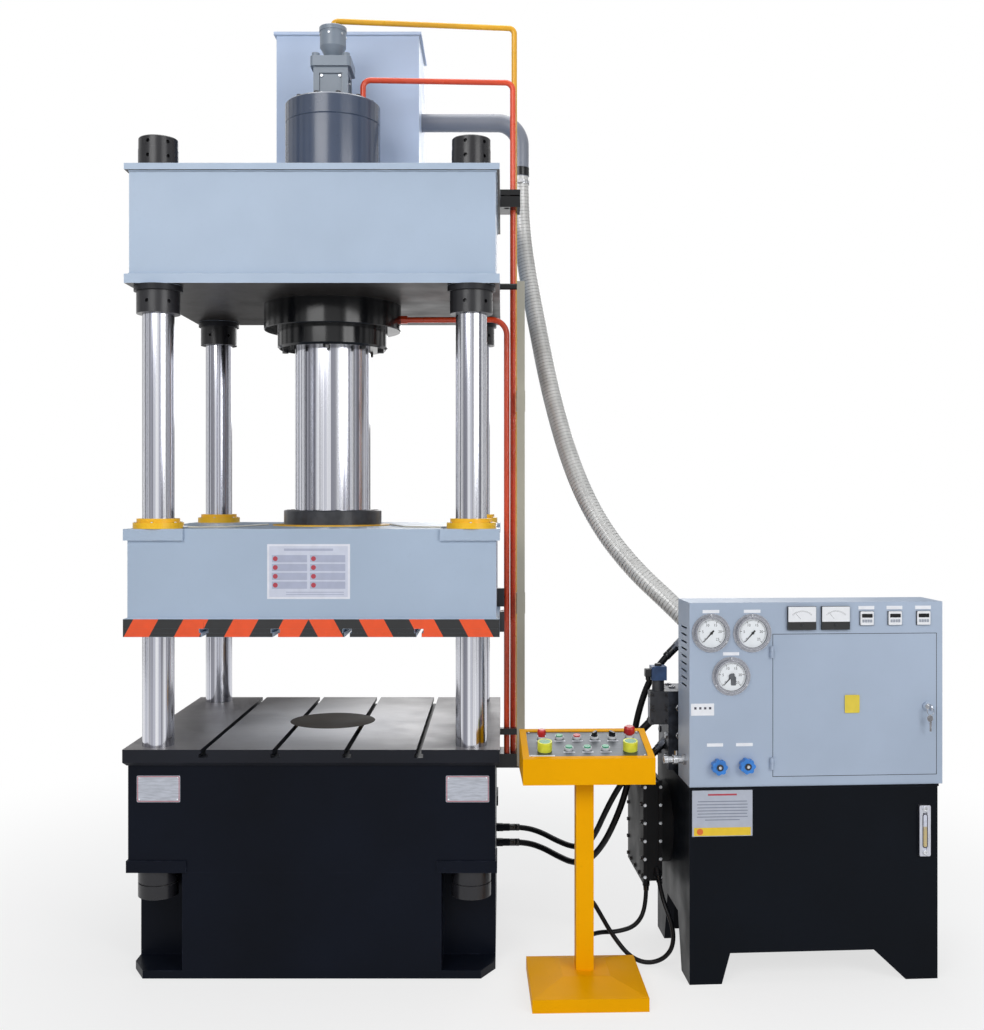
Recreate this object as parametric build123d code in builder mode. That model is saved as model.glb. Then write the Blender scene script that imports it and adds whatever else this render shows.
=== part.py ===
from build123d import *
import os
from math import atan, cos, degrees, radians, sin, tan

# Four-column hydraulic press with its oil power unit and operator pedestal.
# Millimetres, +Z up, +Y to the back, origin on the floor under the ram's axis.

os.makedirs("parts", exist_ok=True)

# Guide columns and their nuts
column_d = 110
column_hole_clearance = 0.4
column_end_recess = 5
column_chamfer = 6
nut_thread_clearance = 0.2
bed_nut_d = 138
bed_nut_height = 97
bed_nut_groove = 5
under_nut_d = 150
under_nut_height = 78
crown_nut_d = 138
crown_nut_height = 60
jam_nut_d = 136
jam_nut_height = 40
nut_chamfer = 3
nut_hole_d = 14
nut_hole_depth = 12
nut_hole_count = 6
nut_hole_turn = 14

# Bed
bed_width = 1270
bed_depth = 1040
column_pitch_x = bed_width - 170
column_pitch_y = bed_depth - 140
bed_height = 738
foot_thickness = 28
foot_corner_x = 50
foot_corner_y = 88
notch_width = 187
notch_depth = 150
ledge_z = bed_height - 371
ledge_thickness = 41
ledge_proud = 6
ledge_length = 208
port_nut_d = 34
port_nut_height = 26
ferrule_d = 30
ferrule_length = 28
bed_port_y = 223
bed_port_upper_z = 318
bed_port_lower_z = 257

# Bolster table
table_width = bed_width + 30
table_depth = bed_depth + 35
table_thickness = 57
table_chamfer = 12
slot_pitch = 247.5
slot_count = 4
slot_stem_width = 18
slot_stem_depth = 14
slot_foot_width = 31
slot_foot_depth = 14

# Ejector
ejector_disc_d = 325
ejector_disc_clearance = 1
ejector_rod_d = 90
ejector_piston_d = 140
ejector_piston_height = 60
ejector_barrel_d = 230
ejector_flange_d = 320
ejector_flange_thickness = 40
ejector_length = 540
ejector_wall_bottom = 25
ejector_gland_length = 100
ejector_pocket_clearance = 2
running_clearance = 0.05

# Crown
crown_width = bed_width + 30
crown_depth = bed_depth
crown_over_bed = 1668
crown_bottom_z = bed_height + crown_over_bed
crown_bottom_plate = 32
crown_box_height = 361
crown_top_plate = 22
crown_box_inset = 14
crown_collar_d = 168
crown_collar_height = 21

# Slide
slide_width = bed_width + 30
slide_depth = bed_depth + 20
slide_bottom_z = bed_height + 444
slide_plate_thickness = 62
slide_body_height = 311
slide_body_inset = 12
pad_length = 206
pad_thickness = 40
wiper_d = 174
wiper_height = 35
wiper_lip_d = 148
wiper_lip_height = 14
wiper_clearance = 0.5
bush_wall = 10
bush_clearance = 0.2
bush_bottom_gap = 8
striker_size = 70
striker_proud = 16

# Main cylinder, gland and ram
cylinder_d = 366
cylinder_top_z = crown_bottom_z + 777
cylinder_head_thickness = 45
shoulder_d = 410
shoulder_height = 40
cylinder_bore_d = 300
cylinder_cap_line_z = cylinder_top_z - 78
cylinder_cap_groove = 2.5
cylinder_nut_d = 528
cylinder_nut_height = 98
cylinder_clearance = 0.5
cylinder_chamfer = 6
gland_d = 424
gland_height = 73
gland_screw_d = 24
gland_screw_head = 12
gland_screw_count = 8
gland_screw_rim = 27
gland_screw_pitch_d = gland_d - 2 * gland_screw_rim
gland_chamfer = 8
ram_d = 290
piston_height = 120
piston_rest_z = crown_bottom_z + 99
ram_flange_d = 376
ram_flange_height = 55
ram_ring_d = 460
ram_ring_thickness = 4

# Prefill valve over the cylinder
valve_body_width = 132
valve_body_height = 134
valve_flange_width = 156
valve_flange_height = 38
valve_screw_d = 30
valve_screw_height = 14
valve_screw_pitch = 116
valve_pocket_width = 88
valve_pocket_height = 84
valve_pocket_depth = 8
valve_neck_d = 60
valve_neck_height = 19
valve_cone_height = 37
valve_cap_d = 101
valve_cap_height = 78
valve_cap_rim = 18

# Oil tank on the crown
top_tank_width = 583
top_tank_depth = 340
top_tank_height = 731
top_tank_x = 26.5
top_tank_front_y = 240
top_tank_lid_thickness = 12
top_tank_lid_overhang = 10

# Rigid pipes
pipe_d = 22
pipe_bend = 60
cylinder_port_x = 117
cylinder_port_rise = 103
riser_a_x = bed_width / 2 + 65
riser_a_y = 30
riser_b_x = bed_width / 2 + 41
riser_b_y = -10
riser_c_x = bed_width / 2 + 71
riser_c_y = 75
riser_bottom_z = bed_height - 66
gland_pipe_z = crown_bottom_z - 53
pilot_top_rise = 27
suction_pipe_d = 75
suction_pipe_z = crown_bottom_z + 839
suction_pipe_y = 410
suction_pipe_x = bed_width / 2 + 98.5
suction_pipe_bend = 95
suction_pipe_end_z = crown_bottom_z + 609

# Brackets of the pipes and the limit switch rail
clamp_z = crown_bottom_z + 379
clamp_height = 42
clamp_plate_height = 21
clamp_plate_gap = 5
clamp_bolt_d = 12
rail_size = 30
rail_wall = 3
rail_x = bed_width / 2 + 95
rail_y = -50
rail_bottom_z = bed_height - 107
rail_top_z = crown_bottom_z + 87
rail_rod_d = 24
rail_rod_top_z = crown_bottom_z + 68
rail_bar_z = bed_height + 26
manifold_height = 54
manifold_length = 90
switch_width = 34
switch_depth = 28
switch_height = 80
switch_low_z = slide_bottom_z + 33
switch_high_z = slide_bottom_z + 813

# Power unit, on a plane of its own turned about the vertical
unit_x = bed_width / 2 + 663
unit_y = -bed_depth / 2 - 54
unit_turn = 3.75
tank_width = 869
tank_depth = 560
tank_height = 674
tank_floor_z = 190
tank_top_plate = 8
tank_top_overhang = 3
skirt_thickness = 30
skirt_open_z = 105
leg_left_floor = 112
leg_left_slope = 29
leg_right_floor = 113
leg_right_slope = 113
leg_side_floor = 128
leg_side_slope = 60
spigot_x = unit_x + 202
spigot_y = unit_y + 324
spigot_height = 86

# Level gauge on the tank's front
level_u = tank_width - 50
level_z = tank_height - 159
level_width = 39
level_height = 175
level_proud = 14
level_window_width = 15
level_window_height = 120
level_window_depth = 5

# Heat exchanger at the tank's left side
exchanger_gap = 44
exchanger_plate = 12
exchanger_thickness = 69
exchanger_front_v = 250
exchanger_depth = 330
exchanger_bottom_z = 265
exchanger_height = tank_height - 299
exchanger_core_inset = 9
exchanger_shroud_d = 300
power_gland_v = 290
control_gland_z = 305
control_gland_tilt = 40
gland_nut_d = 26
gland_nut_height = 16

# Electric cabinet on the tank
cabinet_width = 886
cabinet_depth = 180
cabinet_height = 630
cabinet_sheet = 3
door_left = 288
door_right = 866
door_bottom = tank_height + 32
door_top = tank_height + 522
door_gap = 2
door_fold = 18
door_sheet = 2.5
hinge_u = 284
hinge_v = -7
hinge_d = 12
hinge_pin_d = 6
hinge_length = 40
hinge_low_z = tank_height + 59
hinge_high_z = tank_height + 441
lock_u = 831
lock_z = tank_height + 269
lock_d = 30
lock_rose_height = 7
lock_plug_d = 18
lock_cam_length = 40
lock_cam_width = 14
cam_slot_length = 56
cam_slot_depth = 6
key_bow_d = 24
key_bow_thickness = 2.5
key_length = 14
louvre_count = 9
louvre_length = 90
louvre_height = 7
louvre_pitch = 25
louvre_low_z = tank_height + 338

# Instruments in the cabinet's face
gauge_d = 100
gauge_bezel_d = 112
gauge_flange_d = 132
gauge_flange_thickness = 4
gauge_bezel_proud = 17
gauge_dial_proud = 7
gauge_body_depth = 55
gauge_places = [(74, tank_height + 527), (217, tank_height + 526), (144, tank_height + 379)]
needle_length = 40
needle_tail = 12
needle_width = 3
needle_thickness = 1
needle_hub_d = 9
needle_lift = 0.3
needle_turn = 222
meter_places = [(388, tank_height + 576), (506, tank_height + 576)]
meter_width = 98
meter_height = 80
meter_proud = 12
meter_body_depth = 50
counter_places = [(617, tank_height + 574), (716, tank_height + 574), (817, tank_height + 574)]
counter_size = 48
counter_proud = 6
counter_body_depth = 60
knob_places = [(99, tank_height + 72), (196, tank_height + 74)]
knob_d = 54
knob_lobes = 7
knob_lobe_d = 16
knob_length = 26
knob_stem_d = 16
knob_gap = 2

# Motor, pump and valves behind the cabinet
motor_d = 260
motor_length = 350
motor_u = 465
motor_v = 400
motor_axis_rise = 170
motor_foot_thickness = 18
motor_foot_width = 300
motor_foot_depth = 230
motor_fins = 8
motor_fin_height = 8
motor_cowl_length = 70
motor_box = 110
bell_d = 180
bell_length = 70
pump_d = 130
pump_length = 110
block_u = -20
block_width = 180
block_v = 260
block_depth = 180
block_height = 286
port_v = 345
upper_port_z = tank_height + 211
lower_port_z = tank_height + 83
port_incline = 45
port_length = 34
tower_u = 62
tower_size = 44
tower_height = 165
valve_body_length = 84
valve_width = 46
valve_stack = 62
valve_length = 172
solenoid_d = 44
side_valve_height = 120
side_valve_depth = 66
coil_height = 50
coil_margin = 8

# Operator pedestal, on a plane of its own turned about the vertical
pedestal_x = bed_width / 2 + 303
pedestal_y = -bed_depth / 2 - 53
pedestal_turn = 2.0
base_width = 380
base_front = 221
base_back = 147
base_edge = 44
base_rise = 18
base_crest = 160
post_size = 60
post_gland_u = 8
post_gland_low = 112
post_gland_high = 262
box_width = 440
box_depth = 255
box_shift = 5
box_bottom_z = 713
box_front_top = 800
box_rise = 50
box_wall = 3
box_rim = 22
panel_recess = 6
panel_thickness = 3

# Buttons and switches in the pedestal's panel, from its middle along and up the slope
bezel_d = 30
bezel_height = 9
button_d = 24
button_hole_clearance = 0.3
button_travel = 4
button_proud = 4
button_depth = 24
stop_head_d = 38
stop_head_height = 24
stop_u = 163
stop_s = 61
mushroom_head_d = 29
mushroom_head_height = 18
mushroom_u = -142
mushroom_s = 51
palm_d = 38
palm_guard_d = 49
palm_guard_height = 33
palm_left_u = -138
palm_right_u = 151
palm_s = -53
upper_row_s = 51
start_u = -81
halt_u = -20
selector_left_u = 41
selector_right_u = 102
selector_d = 24
selector_height = 10
selector_grip = 8
lower_row_s = -46
lower_row_u = [-56, 6, 68]

# Free hoses and cables
suction_hose_d = 75
bed_hose_d = 22
pressure_hose_d = 28
return_hose_d = 24
cable_d = 16
arc_share = 0.45

# Places that follow from the sizes above
table_top = bed_height + table_thickness
crown_top = crown_bottom_z + crown_bottom_plate + crown_box_height + crown_top_plate
slide_plate_top = slide_bottom_z + slide_plate_thickness
slide_top = slide_plate_top + slide_body_height
cylinder_nut_z = crown_bottom_z - cylinder_nut_height
gland_z = cylinder_nut_z - gland_height
column_hole_d = column_d + 2 * column_hole_clearance
nut_bore_d = column_d + 2 * nut_thread_clearance
bush_d = column_d + 2 * bush_wall
ejector_bottom_z = bed_height - ejector_length
column_bottom_z = ledge_z - bed_nut_height + column_end_recess
column_top_z = crown_top + crown_nut_height + jam_nut_height - column_end_recess


def columns():
    """The four column centres, for use as a placing context."""
    return GridLocations(column_pitch_x, column_pitch_y, 2, 2)


def upright_ring(level, height, outer, inner):
    """Adds one ring per active location of the open part, standing on a level."""
    with BuildSketch(Plane.XY.offset(level)) as ring:
        with columns():
            Circle(outer / 2)
            Circle(inner / 2, mode=Mode.SUBTRACT)
    extrude(ring.sketch, amount=height)


def slot_profile(level, direction):
    """Adds the T-slot outlines to the open sketch, mouths on a level."""
    stem_y = level - direction * slot_stem_depth / 2
    foot_y = level - direction * (slot_stem_depth + slot_foot_depth / 2)
    with GridLocations(slot_pitch, 1, slot_count, 1):
        with Locations((0, stem_y)):
            Rectangle(slot_stem_width, slot_stem_depth)
        with Locations((0, foot_y)):
            Rectangle(slot_foot_width, slot_foot_depth)


# Bed: a housing welded from blocks on a foot plate, its lower corners left open for the
# column nuts
with BuildPart() as bed_foot:
    with BuildSketch():
        with BuildLine():
            Polyline(
                (bed_width / 2 - foot_corner_x, -bed_depth / 2),
                (bed_width / 2, foot_corner_y - bed_depth / 2),
                (bed_width / 2, bed_depth / 2 - foot_corner_y),
                (bed_width / 2 - foot_corner_x, bed_depth / 2),
                (foot_corner_x - bed_width / 2, bed_depth / 2),
                (-bed_width / 2, bed_depth / 2 - foot_corner_y),
                (-bed_width / 2, foot_corner_y - bed_depth / 2),
                (foot_corner_x - bed_width / 2, -bed_depth / 2),
                close=True,
            )
        make_face()
    extrude(amount=foot_thickness)
with BuildPart() as bed_sides:
    with BuildSketch(Plane.XY.offset(foot_thickness)):
        with GridLocations(bed_width - notch_width, 1, 2, 1):
            Rectangle(notch_width, bed_depth - 2 * notch_depth)
    extrude(amount=ledge_z - foot_thickness)
with BuildPart() as bed_core:
    with BuildSketch(Plane.XY.offset(foot_thickness)):
        Rectangle(bed_width - 2 * notch_width, bed_depth)
    extrude(amount=ledge_z - foot_thickness)
    with BuildSketch(Plane.XY.offset(ledge_z)):
        Circle(ejector_barrel_d / 2 + ejector_pocket_clearance)
    extrude(amount=ejector_bottom_z - ejector_pocket_clearance - ledge_z, mode=Mode.SUBTRACT)
with BuildPart() as bed_body:
    with BuildSketch(Plane.XY.offset(ledge_z)):
        Rectangle(bed_width, bed_depth)
    extrude(amount=bed_height - ledge_z)
    ledge_depth = notch_depth + ledge_proud
    with BuildSketch(Plane.XY.offset(ledge_z)):
        ledge_x = bed_width + 2 * ledge_proud - ledge_length
        with GridLocations(ledge_x, bed_depth + 2 * ledge_proud - ledge_depth, 2, 2):
            Rectangle(ledge_length, ledge_depth)
    extrude(amount=ledge_thickness)
    with BuildSketch(Plane.XY.offset(bed_height)):
        with columns():
            Circle(column_hole_d / 2)
        Circle(ejector_barrel_d / 2 + ejector_pocket_clearance)
    extrude(amount=ledge_z - bed_height, mode=Mode.SUBTRACT)
    with BuildSketch(Plane.XY.offset(bed_height)):
        Circle(ejector_flange_d / 2 + ejector_pocket_clearance)
    extrude(amount=-ejector_flange_thickness, mode=Mode.SUBTRACT)
with BuildPart() as bed_unions:
    bed_ports = [(bed_port_y, bed_port_upper_z), (bed_port_y, bed_port_lower_z)]
    with BuildSketch(Plane.YZ.offset(bed_width / 2)):
        with Locations(*bed_ports):
            RegularPolygon(port_nut_d / 2, 6)
    extrude(amount=port_nut_height)
    with BuildSketch(Plane.YZ.offset(bed_width / 2 + port_nut_height)):
        with Locations(*bed_ports):
            Circle(ferrule_d / 2)
    extrude(amount=ferrule_length)
bed_blocks = []
for welded in (bed_foot, bed_sides, bed_core, bed_body, bed_unions):
    bed_blocks += welded.part.solids()
bed_frame = Compound(label="bed_frame", children=bed_blocks)
export_step(bed_frame, "parts/bed_frame.step")

# Table: a plate with four T-slots from front to back and a hole for the ejector disc
with BuildPart() as table_plate:
    with BuildSketch(Plane.XY.offset(bed_height)):
        Rectangle(table_width, table_depth)
    extrude(amount=table_thickness)
    lower_edges = table_plate.faces().sort_by(Axis.Z)[0].outer_wire().edges()
    chamfer(lower_edges, length=table_chamfer)
    with BuildSketch(Plane.XZ):
        slot_profile(table_top, 1)
    extrude(amount=table_depth, both=True, mode=Mode.SUBTRACT)
    with BuildSketch(Plane.XY.offset(bed_height)):
        with columns():
            Circle(column_hole_d / 2)
        Circle(ejector_disc_d / 2 + ejector_disc_clearance)
    extrude(amount=table_thickness, mode=Mode.SUBTRACT)
table_plate.part.label = "table_plate"
export_step(table_plate.part, "parts/table_plate.step")

# Guide columns: four ground bars from the nuts under the bed to the nuts over the crown
with BuildPart() as guide_columns:
    with BuildSketch(Plane.XY.offset(column_bottom_z)):
        with columns():
            Circle(column_d / 2)
    extrude(amount=column_top_z - column_bottom_z)
    chamfer(guide_columns.edges().filter_by(GeomType.CIRCLE), length=column_chamfer)
guide_columns.part.label = "guide_columns"
export_step(guide_columns.part, "parts/guide_columns.step")

# Column nuts: under the bed's ledges, under the crown, and a nut and a jam nut over it
with BuildPart() as column_nuts:
    half_nut = (bed_nut_height - bed_nut_groove) / 2
    upright_ring(ledge_z - half_nut, half_nut, bed_nut_d, nut_bore_d)
    groove_z = ledge_z - half_nut - bed_nut_groove
    upright_ring(groove_z, bed_nut_groove, bed_nut_d - 2 * bed_nut_groove, nut_bore_d)
    upright_ring(groove_z - half_nut, half_nut, bed_nut_d, nut_bore_d)
    under_nut_z = crown_bottom_z - crown_collar_height - under_nut_height
    upright_ring(under_nut_z, under_nut_height, under_nut_d, nut_bore_d)
    upright_ring(crown_top, crown_nut_height, crown_nut_d, nut_bore_d)
    jam_nut_z = crown_top + crown_nut_height
    upright_ring(jam_nut_z, jam_nut_height, jam_nut_d, nut_bore_d)
    hole_rows = [
        (under_nut_z + under_nut_height / 2, under_nut_d),
        (crown_top + crown_nut_height / 2, crown_nut_d),
        (jam_nut_z + jam_nut_height / 2, jam_nut_d),
    ]
    hole_planes = []
    for side_x in (-column_pitch_x / 2, column_pitch_x / 2):
        for side_y in (-column_pitch_y / 2, column_pitch_y / 2):
            for hole_z, nut_d in hole_rows:
                for step in range(nut_hole_count):
                    around = radians(nut_hole_turn + step * 360 / nut_hole_count)
                    centre = Plane(origin=(side_x, side_y, hole_z), z_dir=(cos(around), sin(around), 0))
                    hole_planes.append(centre.offset(nut_d / 2 - nut_hole_depth))
    with BuildSketch(*hole_planes) as spanner_holes:
        Circle(nut_hole_d / 2)
    extrude(spanner_holes.sketch, amount=2 * nut_hole_depth, mode=Mode.SUBTRACT)
    top_rims = column_nuts.edges().filter_by(GeomType.CIRCLE).group_by(Axis.Z)[-1]
    chamfer(top_rims.group_by(SortBy.RADIUS)[-1], length=nut_chamfer)
column_nuts.part.label = "column_nuts"
export_step(column_nuts.part, "parts/column_nuts.step")

# Crown: a welded box between a top and a bottom plate, bored for the cylinder and columns
with BuildPart() as crown_beam:
    with BuildSketch(Plane.XY.offset(crown_bottom_z)):
        Rectangle(crown_width, crown_depth)
    extrude(amount=crown_bottom_plate)
    with BuildSketch(Plane.XY.offset(crown_bottom_z + crown_bottom_plate)):
        Rectangle(crown_width - 2 * crown_box_inset, crown_depth - 2 * crown_box_inset)
    extrude(amount=crown_box_height)
    with BuildSketch(Plane.XY.offset(crown_top - crown_top_plate)):
        Rectangle(crown_width, crown_depth)
    extrude(amount=crown_top_plate)
    with BuildSketch(Plane.XY.offset(crown_bottom_z - crown_collar_height)):
        with columns():
            Circle(crown_collar_d / 2)
    extrude(amount=crown_collar_height)
    with BuildSketch(Plane.XY.offset(crown_bottom_z - crown_collar_height)):
        with columns():
            Circle(column_hole_d / 2)
        Circle(cylinder_d / 2 + cylinder_clearance)
    extrude(amount=crown_top - crown_bottom_z + crown_collar_height, mode=Mode.SUBTRACT)
    with BuildSketch(Plane.XY.offset(crown_top)):
        Circle(shoulder_d / 2 + cylinder_clearance)
    extrude(amount=-shoulder_height, mode=Mode.SUBTRACT)
crown_beam.part.label = "crown_beam"
export_step(crown_beam.part, "parts/crown_beam.step")

# Main cylinder: a forged barrel with a closed head and a shoulder let into the crown's top
with BuildPart() as main_cylinder:
    with BuildSketch(Plane.XZ):
        with BuildLine():
            Polyline(
                (cylinder_bore_d / 2, cylinder_nut_z),
                (cylinder_d / 2, cylinder_nut_z),
                (cylinder_d / 2, crown_top - shoulder_height),
                (shoulder_d / 2, crown_top - shoulder_height),
                (shoulder_d / 2, crown_top),
                (cylinder_d / 2, crown_top),
                (cylinder_d / 2, cylinder_cap_line_z - cylinder_cap_groove),
                (cylinder_d / 2 - cylinder_cap_groove, cylinder_cap_line_z),
                (cylinder_d / 2, cylinder_cap_line_z + cylinder_cap_groove),
                (cylinder_d / 2, cylinder_top_z - cylinder_chamfer),
                (cylinder_d / 2 - cylinder_chamfer, cylinder_top_z),
                (0, cylinder_top_z),
                (0, cylinder_top_z - cylinder_head_thickness),
                (cylinder_bore_d / 2, cylinder_top_z - cylinder_head_thickness),
                close=True,
            )
        make_face()
    revolve(axis=Axis.Z)
main_cylinder.part.label = "main_cylinder"
export_step(main_cylinder.part, "parts/main_cylinder.step")

# Cylinder nut: the ring nut that pulls the cylinder's shoulder down onto the crown
with BuildPart() as cylinder_nut:
    with BuildSketch(Plane.XY.offset(cylinder_nut_z)):
        Circle(cylinder_nut_d / 2)
    extrude(amount=cylinder_nut_height)
    chamfer(cylinder_nut.edges().sort_by(Axis.Z)[0], length=nut_chamfer)
    with BuildSketch(Plane.XY.offset(cylinder_nut_z)):
        Circle(cylinder_d / 2 + nut_thread_clearance)
    extrude(amount=cylinder_nut_height, mode=Mode.SUBTRACT)
cylinder_nut.part.label = "cylinder_nut"
export_step(cylinder_nut.part, "parts/cylinder_nut.step")

# Gland ring: closes the cylinder below and carries the ram's seals
with BuildPart() as gland_ring:
    with BuildSketch(Plane.XY.offset(gland_z)):
        Circle(gland_d / 2)
    extrude(amount=gland_height)
    chamfer(gland_ring.edges().sort_by(Axis.Z)[0], length=gland_chamfer)
    with BuildSketch(Plane.XY.offset(gland_z)):
        Circle(ram_d / 2 + running_clearance)
    extrude(amount=gland_height, mode=Mode.SUBTRACT)
    with BuildSketch(Plane.XY.offset(gland_z)):
        with PolarLocations(gland_screw_pitch_d / 2, gland_screw_count):
            RegularPolygon(gland_screw_d / 2, 6)
    extrude(amount=-gland_screw_head)
gland_ring.part.label = "gland_ring"
export_step(gland_ring.part, "parts/gland_ring.step")

# Ram: one chromed bar with its piston at the top, standing on the slide
with BuildPart() as ram:
    with BuildSketch(Plane.XY.offset(slide_top)):
        Circle(ram_d / 2)
    extrude(amount=piston_rest_z - slide_top)
    with BuildSketch(Plane.XY.offset(piston_rest_z)):
        Circle(cylinder_bore_d / 2 - running_clearance)
    extrude(amount=piston_height)
    chamfer(ram.edges().sort_by(Axis.Z)[-1], length=cylinder_chamfer)
ram.part.label = "ram"
export_step(ram.part, "parts/ram.step")

# Ram flange: a collar on a thin painted ring, screwed down to hold the ram on the slide
with BuildPart() as ram_flange:
    with BuildSketch(Plane.XY.offset(slide_top)):
        Circle(ram_ring_d / 2)
    extrude(amount=ram_ring_thickness)
    with BuildSketch(Plane.XY.offset(slide_top + ram_ring_thickness)):
        Circle(ram_flange_d / 2)
    extrude(amount=ram_flange_height)
    chamfer(ram_flange.edges().sort_by(Axis.Z)[-1], length=nut_chamfer)
    with BuildSketch(Plane.XY.offset(slide_top)):
        Circle(ram_d / 2 + cylinder_clearance)
    extrude(amount=ram_ring_thickness + ram_flange_height, mode=Mode.SUBTRACT)
ram_flange.part.label = "ram_flange"
export_step(ram_flange.part, "parts/ram_flange.step")

# Slide: a welded box on a T-slotted plate, with a pad at each upper corner
with BuildPart() as slide_beam:
    with BuildSketch(Plane.XY.offset(slide_bottom_z)):
        Rectangle(slide_width, slide_depth)
    extrude(amount=slide_plate_thickness)
    with BuildSketch(Plane.XY.offset(slide_plate_top)):
        Rectangle(slide_width - 2 * slide_body_inset, slide_depth - 2 * slide_body_inset)
    extrude(amount=slide_body_height)
    with BuildSketch(Plane.XY.offset(slide_top - pad_thickness)):
        with GridLocations(slide_width - pad_length, slide_depth - pad_length, 2, 2):
            Rectangle(pad_length, pad_length)
    extrude(amount=pad_thickness)
    with BuildSketch(Plane.XZ):
        slot_profile(slide_bottom_z, -1)
    extrude(amount=slide_depth, both=True, mode=Mode.SUBTRACT)
    with BuildSketch(Plane.XY.offset(slide_bottom_z)):
        with columns():
            Circle(bush_d / 2 + bush_clearance)
    extrude(amount=slide_top - slide_bottom_z, mode=Mode.SUBTRACT)
slide_beam.part.label = "slide_beam"
export_step(slide_beam.part, "parts/slide_beam.step")

# Guide bushes: bronze sleeves in the slide, running on the columns
with BuildPart() as guide_bushes:
    bush_z = slide_bottom_z + bush_bottom_gap
    upright_ring(bush_z, slide_top - bush_z, bush_d, column_d + 2 * running_clearance)
guide_bushes.part.label = "guide_bushes"
export_step(guide_bushes.part, "parts/guide_bushes.step")

# Wiper collars: flanged rings over the bushes that keep dirt out
with BuildPart() as wiper_collars:
    wiper_bore = column_d + 2 * wiper_clearance
    upright_ring(slide_top, wiper_height - wiper_lip_height, wiper_d, wiper_bore)
    upright_ring(slide_top + wiper_height - wiper_lip_height, wiper_lip_height, wiper_lip_d, wiper_bore)
wiper_collars.part.label = "wiper_collars"
export_step(wiper_collars.part, "parts/wiper_collars.step")

# Striker blocks: cams on the slide's right side for the limit switches
with BuildPart() as striker_blocks:
    front_cam = (striker_size - slide_depth / 2, slide_bottom_z + striker_size * 0.7)
    with BuildSketch(Plane.YZ.offset(slide_width / 2)):
        with Locations(front_cam):
            Rectangle(striker_size, striker_size)
    extrude(amount=striker_proud)
    with BuildSketch(Plane.YZ.offset(slide_width / 2 - slide_body_inset)):
        with Locations((rail_y, slide_plate_top + striker_size / 2)):
            Rectangle(rail_size, striker_size)
    extrude(amount=striker_proud + slide_body_inset)
striker_blocks.part.label = "striker_blocks"
export_step(striker_blocks.part, "parts/striker_blocks.step")

# Ejector: a cylinder hung in the bed and the disc that it lifts out of the table
with BuildPart() as ejector_cylinder:
    with BuildSketch(Plane.XY.offset(ejector_bottom_z)):
        Circle(ejector_barrel_d / 2)
    extrude(amount=ejector_length)
    with BuildSketch(Plane.XY.offset(bed_height)):
        Circle(ejector_flange_d / 2)
    extrude(amount=-ejector_flange_thickness)
    with BuildSketch(Plane.XY.offset(ejector_bottom_z + ejector_wall_bottom)):
        Circle(ejector_piston_d / 2)
    extrude(amount=ejector_length - ejector_wall_bottom - ejector_gland_length, mode=Mode.SUBTRACT)
    with BuildSketch(Plane.XY.offset(bed_height)):
        Circle(ejector_rod_d / 2 + running_clearance)
    extrude(amount=-ejector_gland_length, mode=Mode.SUBTRACT)
ejector_cylinder.part.label = "ejector_cylinder"
export_step(ejector_cylinder.part, "parts/ejector_cylinder.step")

with BuildPart() as ejector_plate:
    with BuildSketch(Plane.XY.offset(bed_height)):
        Circle(ejector_disc_d / 2)
    extrude(amount=table_thickness)
    piston_z = ejector_bottom_z + ejector_wall_bottom + ejector_disc_clearance
    with BuildSketch(Plane.XY.offset(piston_z)):
        Circle(ejector_rod_d / 2)
    extrude(amount=bed_height - piston_z)
    with BuildSketch(Plane.XY.offset(piston_z)):
        Circle(ejector_piston_d / 2 - running_clearance)
    extrude(amount=ejector_piston_height)
ejector_plate.part.label = "ejector_plate"
export_step(ejector_plate.part, "parts/ejector_plate.step")

# Prefill valve: a pocketed block with a screwed top flange, over the cylinder's head
with BuildPart() as prefill_valve:
    with BuildSketch(Plane.XY.offset(cylinder_top_z)):
        Rectangle(valve_body_width, valve_body_width)
    extrude(amount=valve_body_height)
    for turn in (0, 90, 180, 270):
        side = Plane(
            origin=(0, 0, cylinder_top_z + valve_body_height / 2),
            x_dir=(cos(radians(turn)), sin(radians(turn)), 0),
            z_dir=(sin(radians(turn)), -cos(radians(turn)), 0),
        )
        with BuildSketch(side.offset(valve_body_width / 2)):
            Rectangle(valve_pocket_width, valve_pocket_height)
        extrude(amount=-valve_pocket_depth, mode=Mode.SUBTRACT)
    flange_z = cylinder_top_z + valve_body_height
    with BuildSketch(Plane.XY.offset(flange_z)) as flange_outline:
        Rectangle(valve_flange_width, valve_flange_width)
        fillet(flange_outline.vertices(), radius=valve_screw_d / 2)
    extrude(amount=valve_flange_height)
    with BuildSketch(Plane.XY.offset(flange_z + valve_flange_height)):
        with GridLocations(valve_screw_pitch, valve_screw_pitch, 2, 2):
            Circle(valve_screw_d / 2)
    extrude(amount=valve_screw_height)
prefill_valve.part.label = "prefill_valve"
export_step(prefill_valve.part, "parts/prefill_valve.step")

# Prefill cap: the turned pilot cylinder on top of the valve
with BuildPart() as prefill_cap:
    neck_z = flange_z + valve_flange_height
    cone_z = neck_z + valve_neck_height
    cap_z = cone_z + valve_cone_height
    prefill_top = cap_z + valve_cap_height
    with BuildSketch(Plane.XZ):
        with BuildLine():
            Polyline(
                (0, neck_z),
                (valve_neck_d / 2, neck_z),
                (valve_neck_d / 2, cone_z),
                (valve_cap_d / 2, cap_z),
                (valve_cap_d / 2, prefill_top - valve_cap_rim),
                (valve_cap_d / 2 + cylinder_cap_groove, prefill_top - valve_cap_rim),
                (valve_cap_d / 2 + cylinder_cap_groove, prefill_top - cylinder_cap_groove),
                (valve_cap_d / 2, prefill_top),
                (0, prefill_top),
                close=True,
            )
        make_face()
    revolve(axis=Axis.Z)
prefill_cap.part.label = "prefill_cap"
export_step(prefill_cap.part, "parts/prefill_cap.step")

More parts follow.
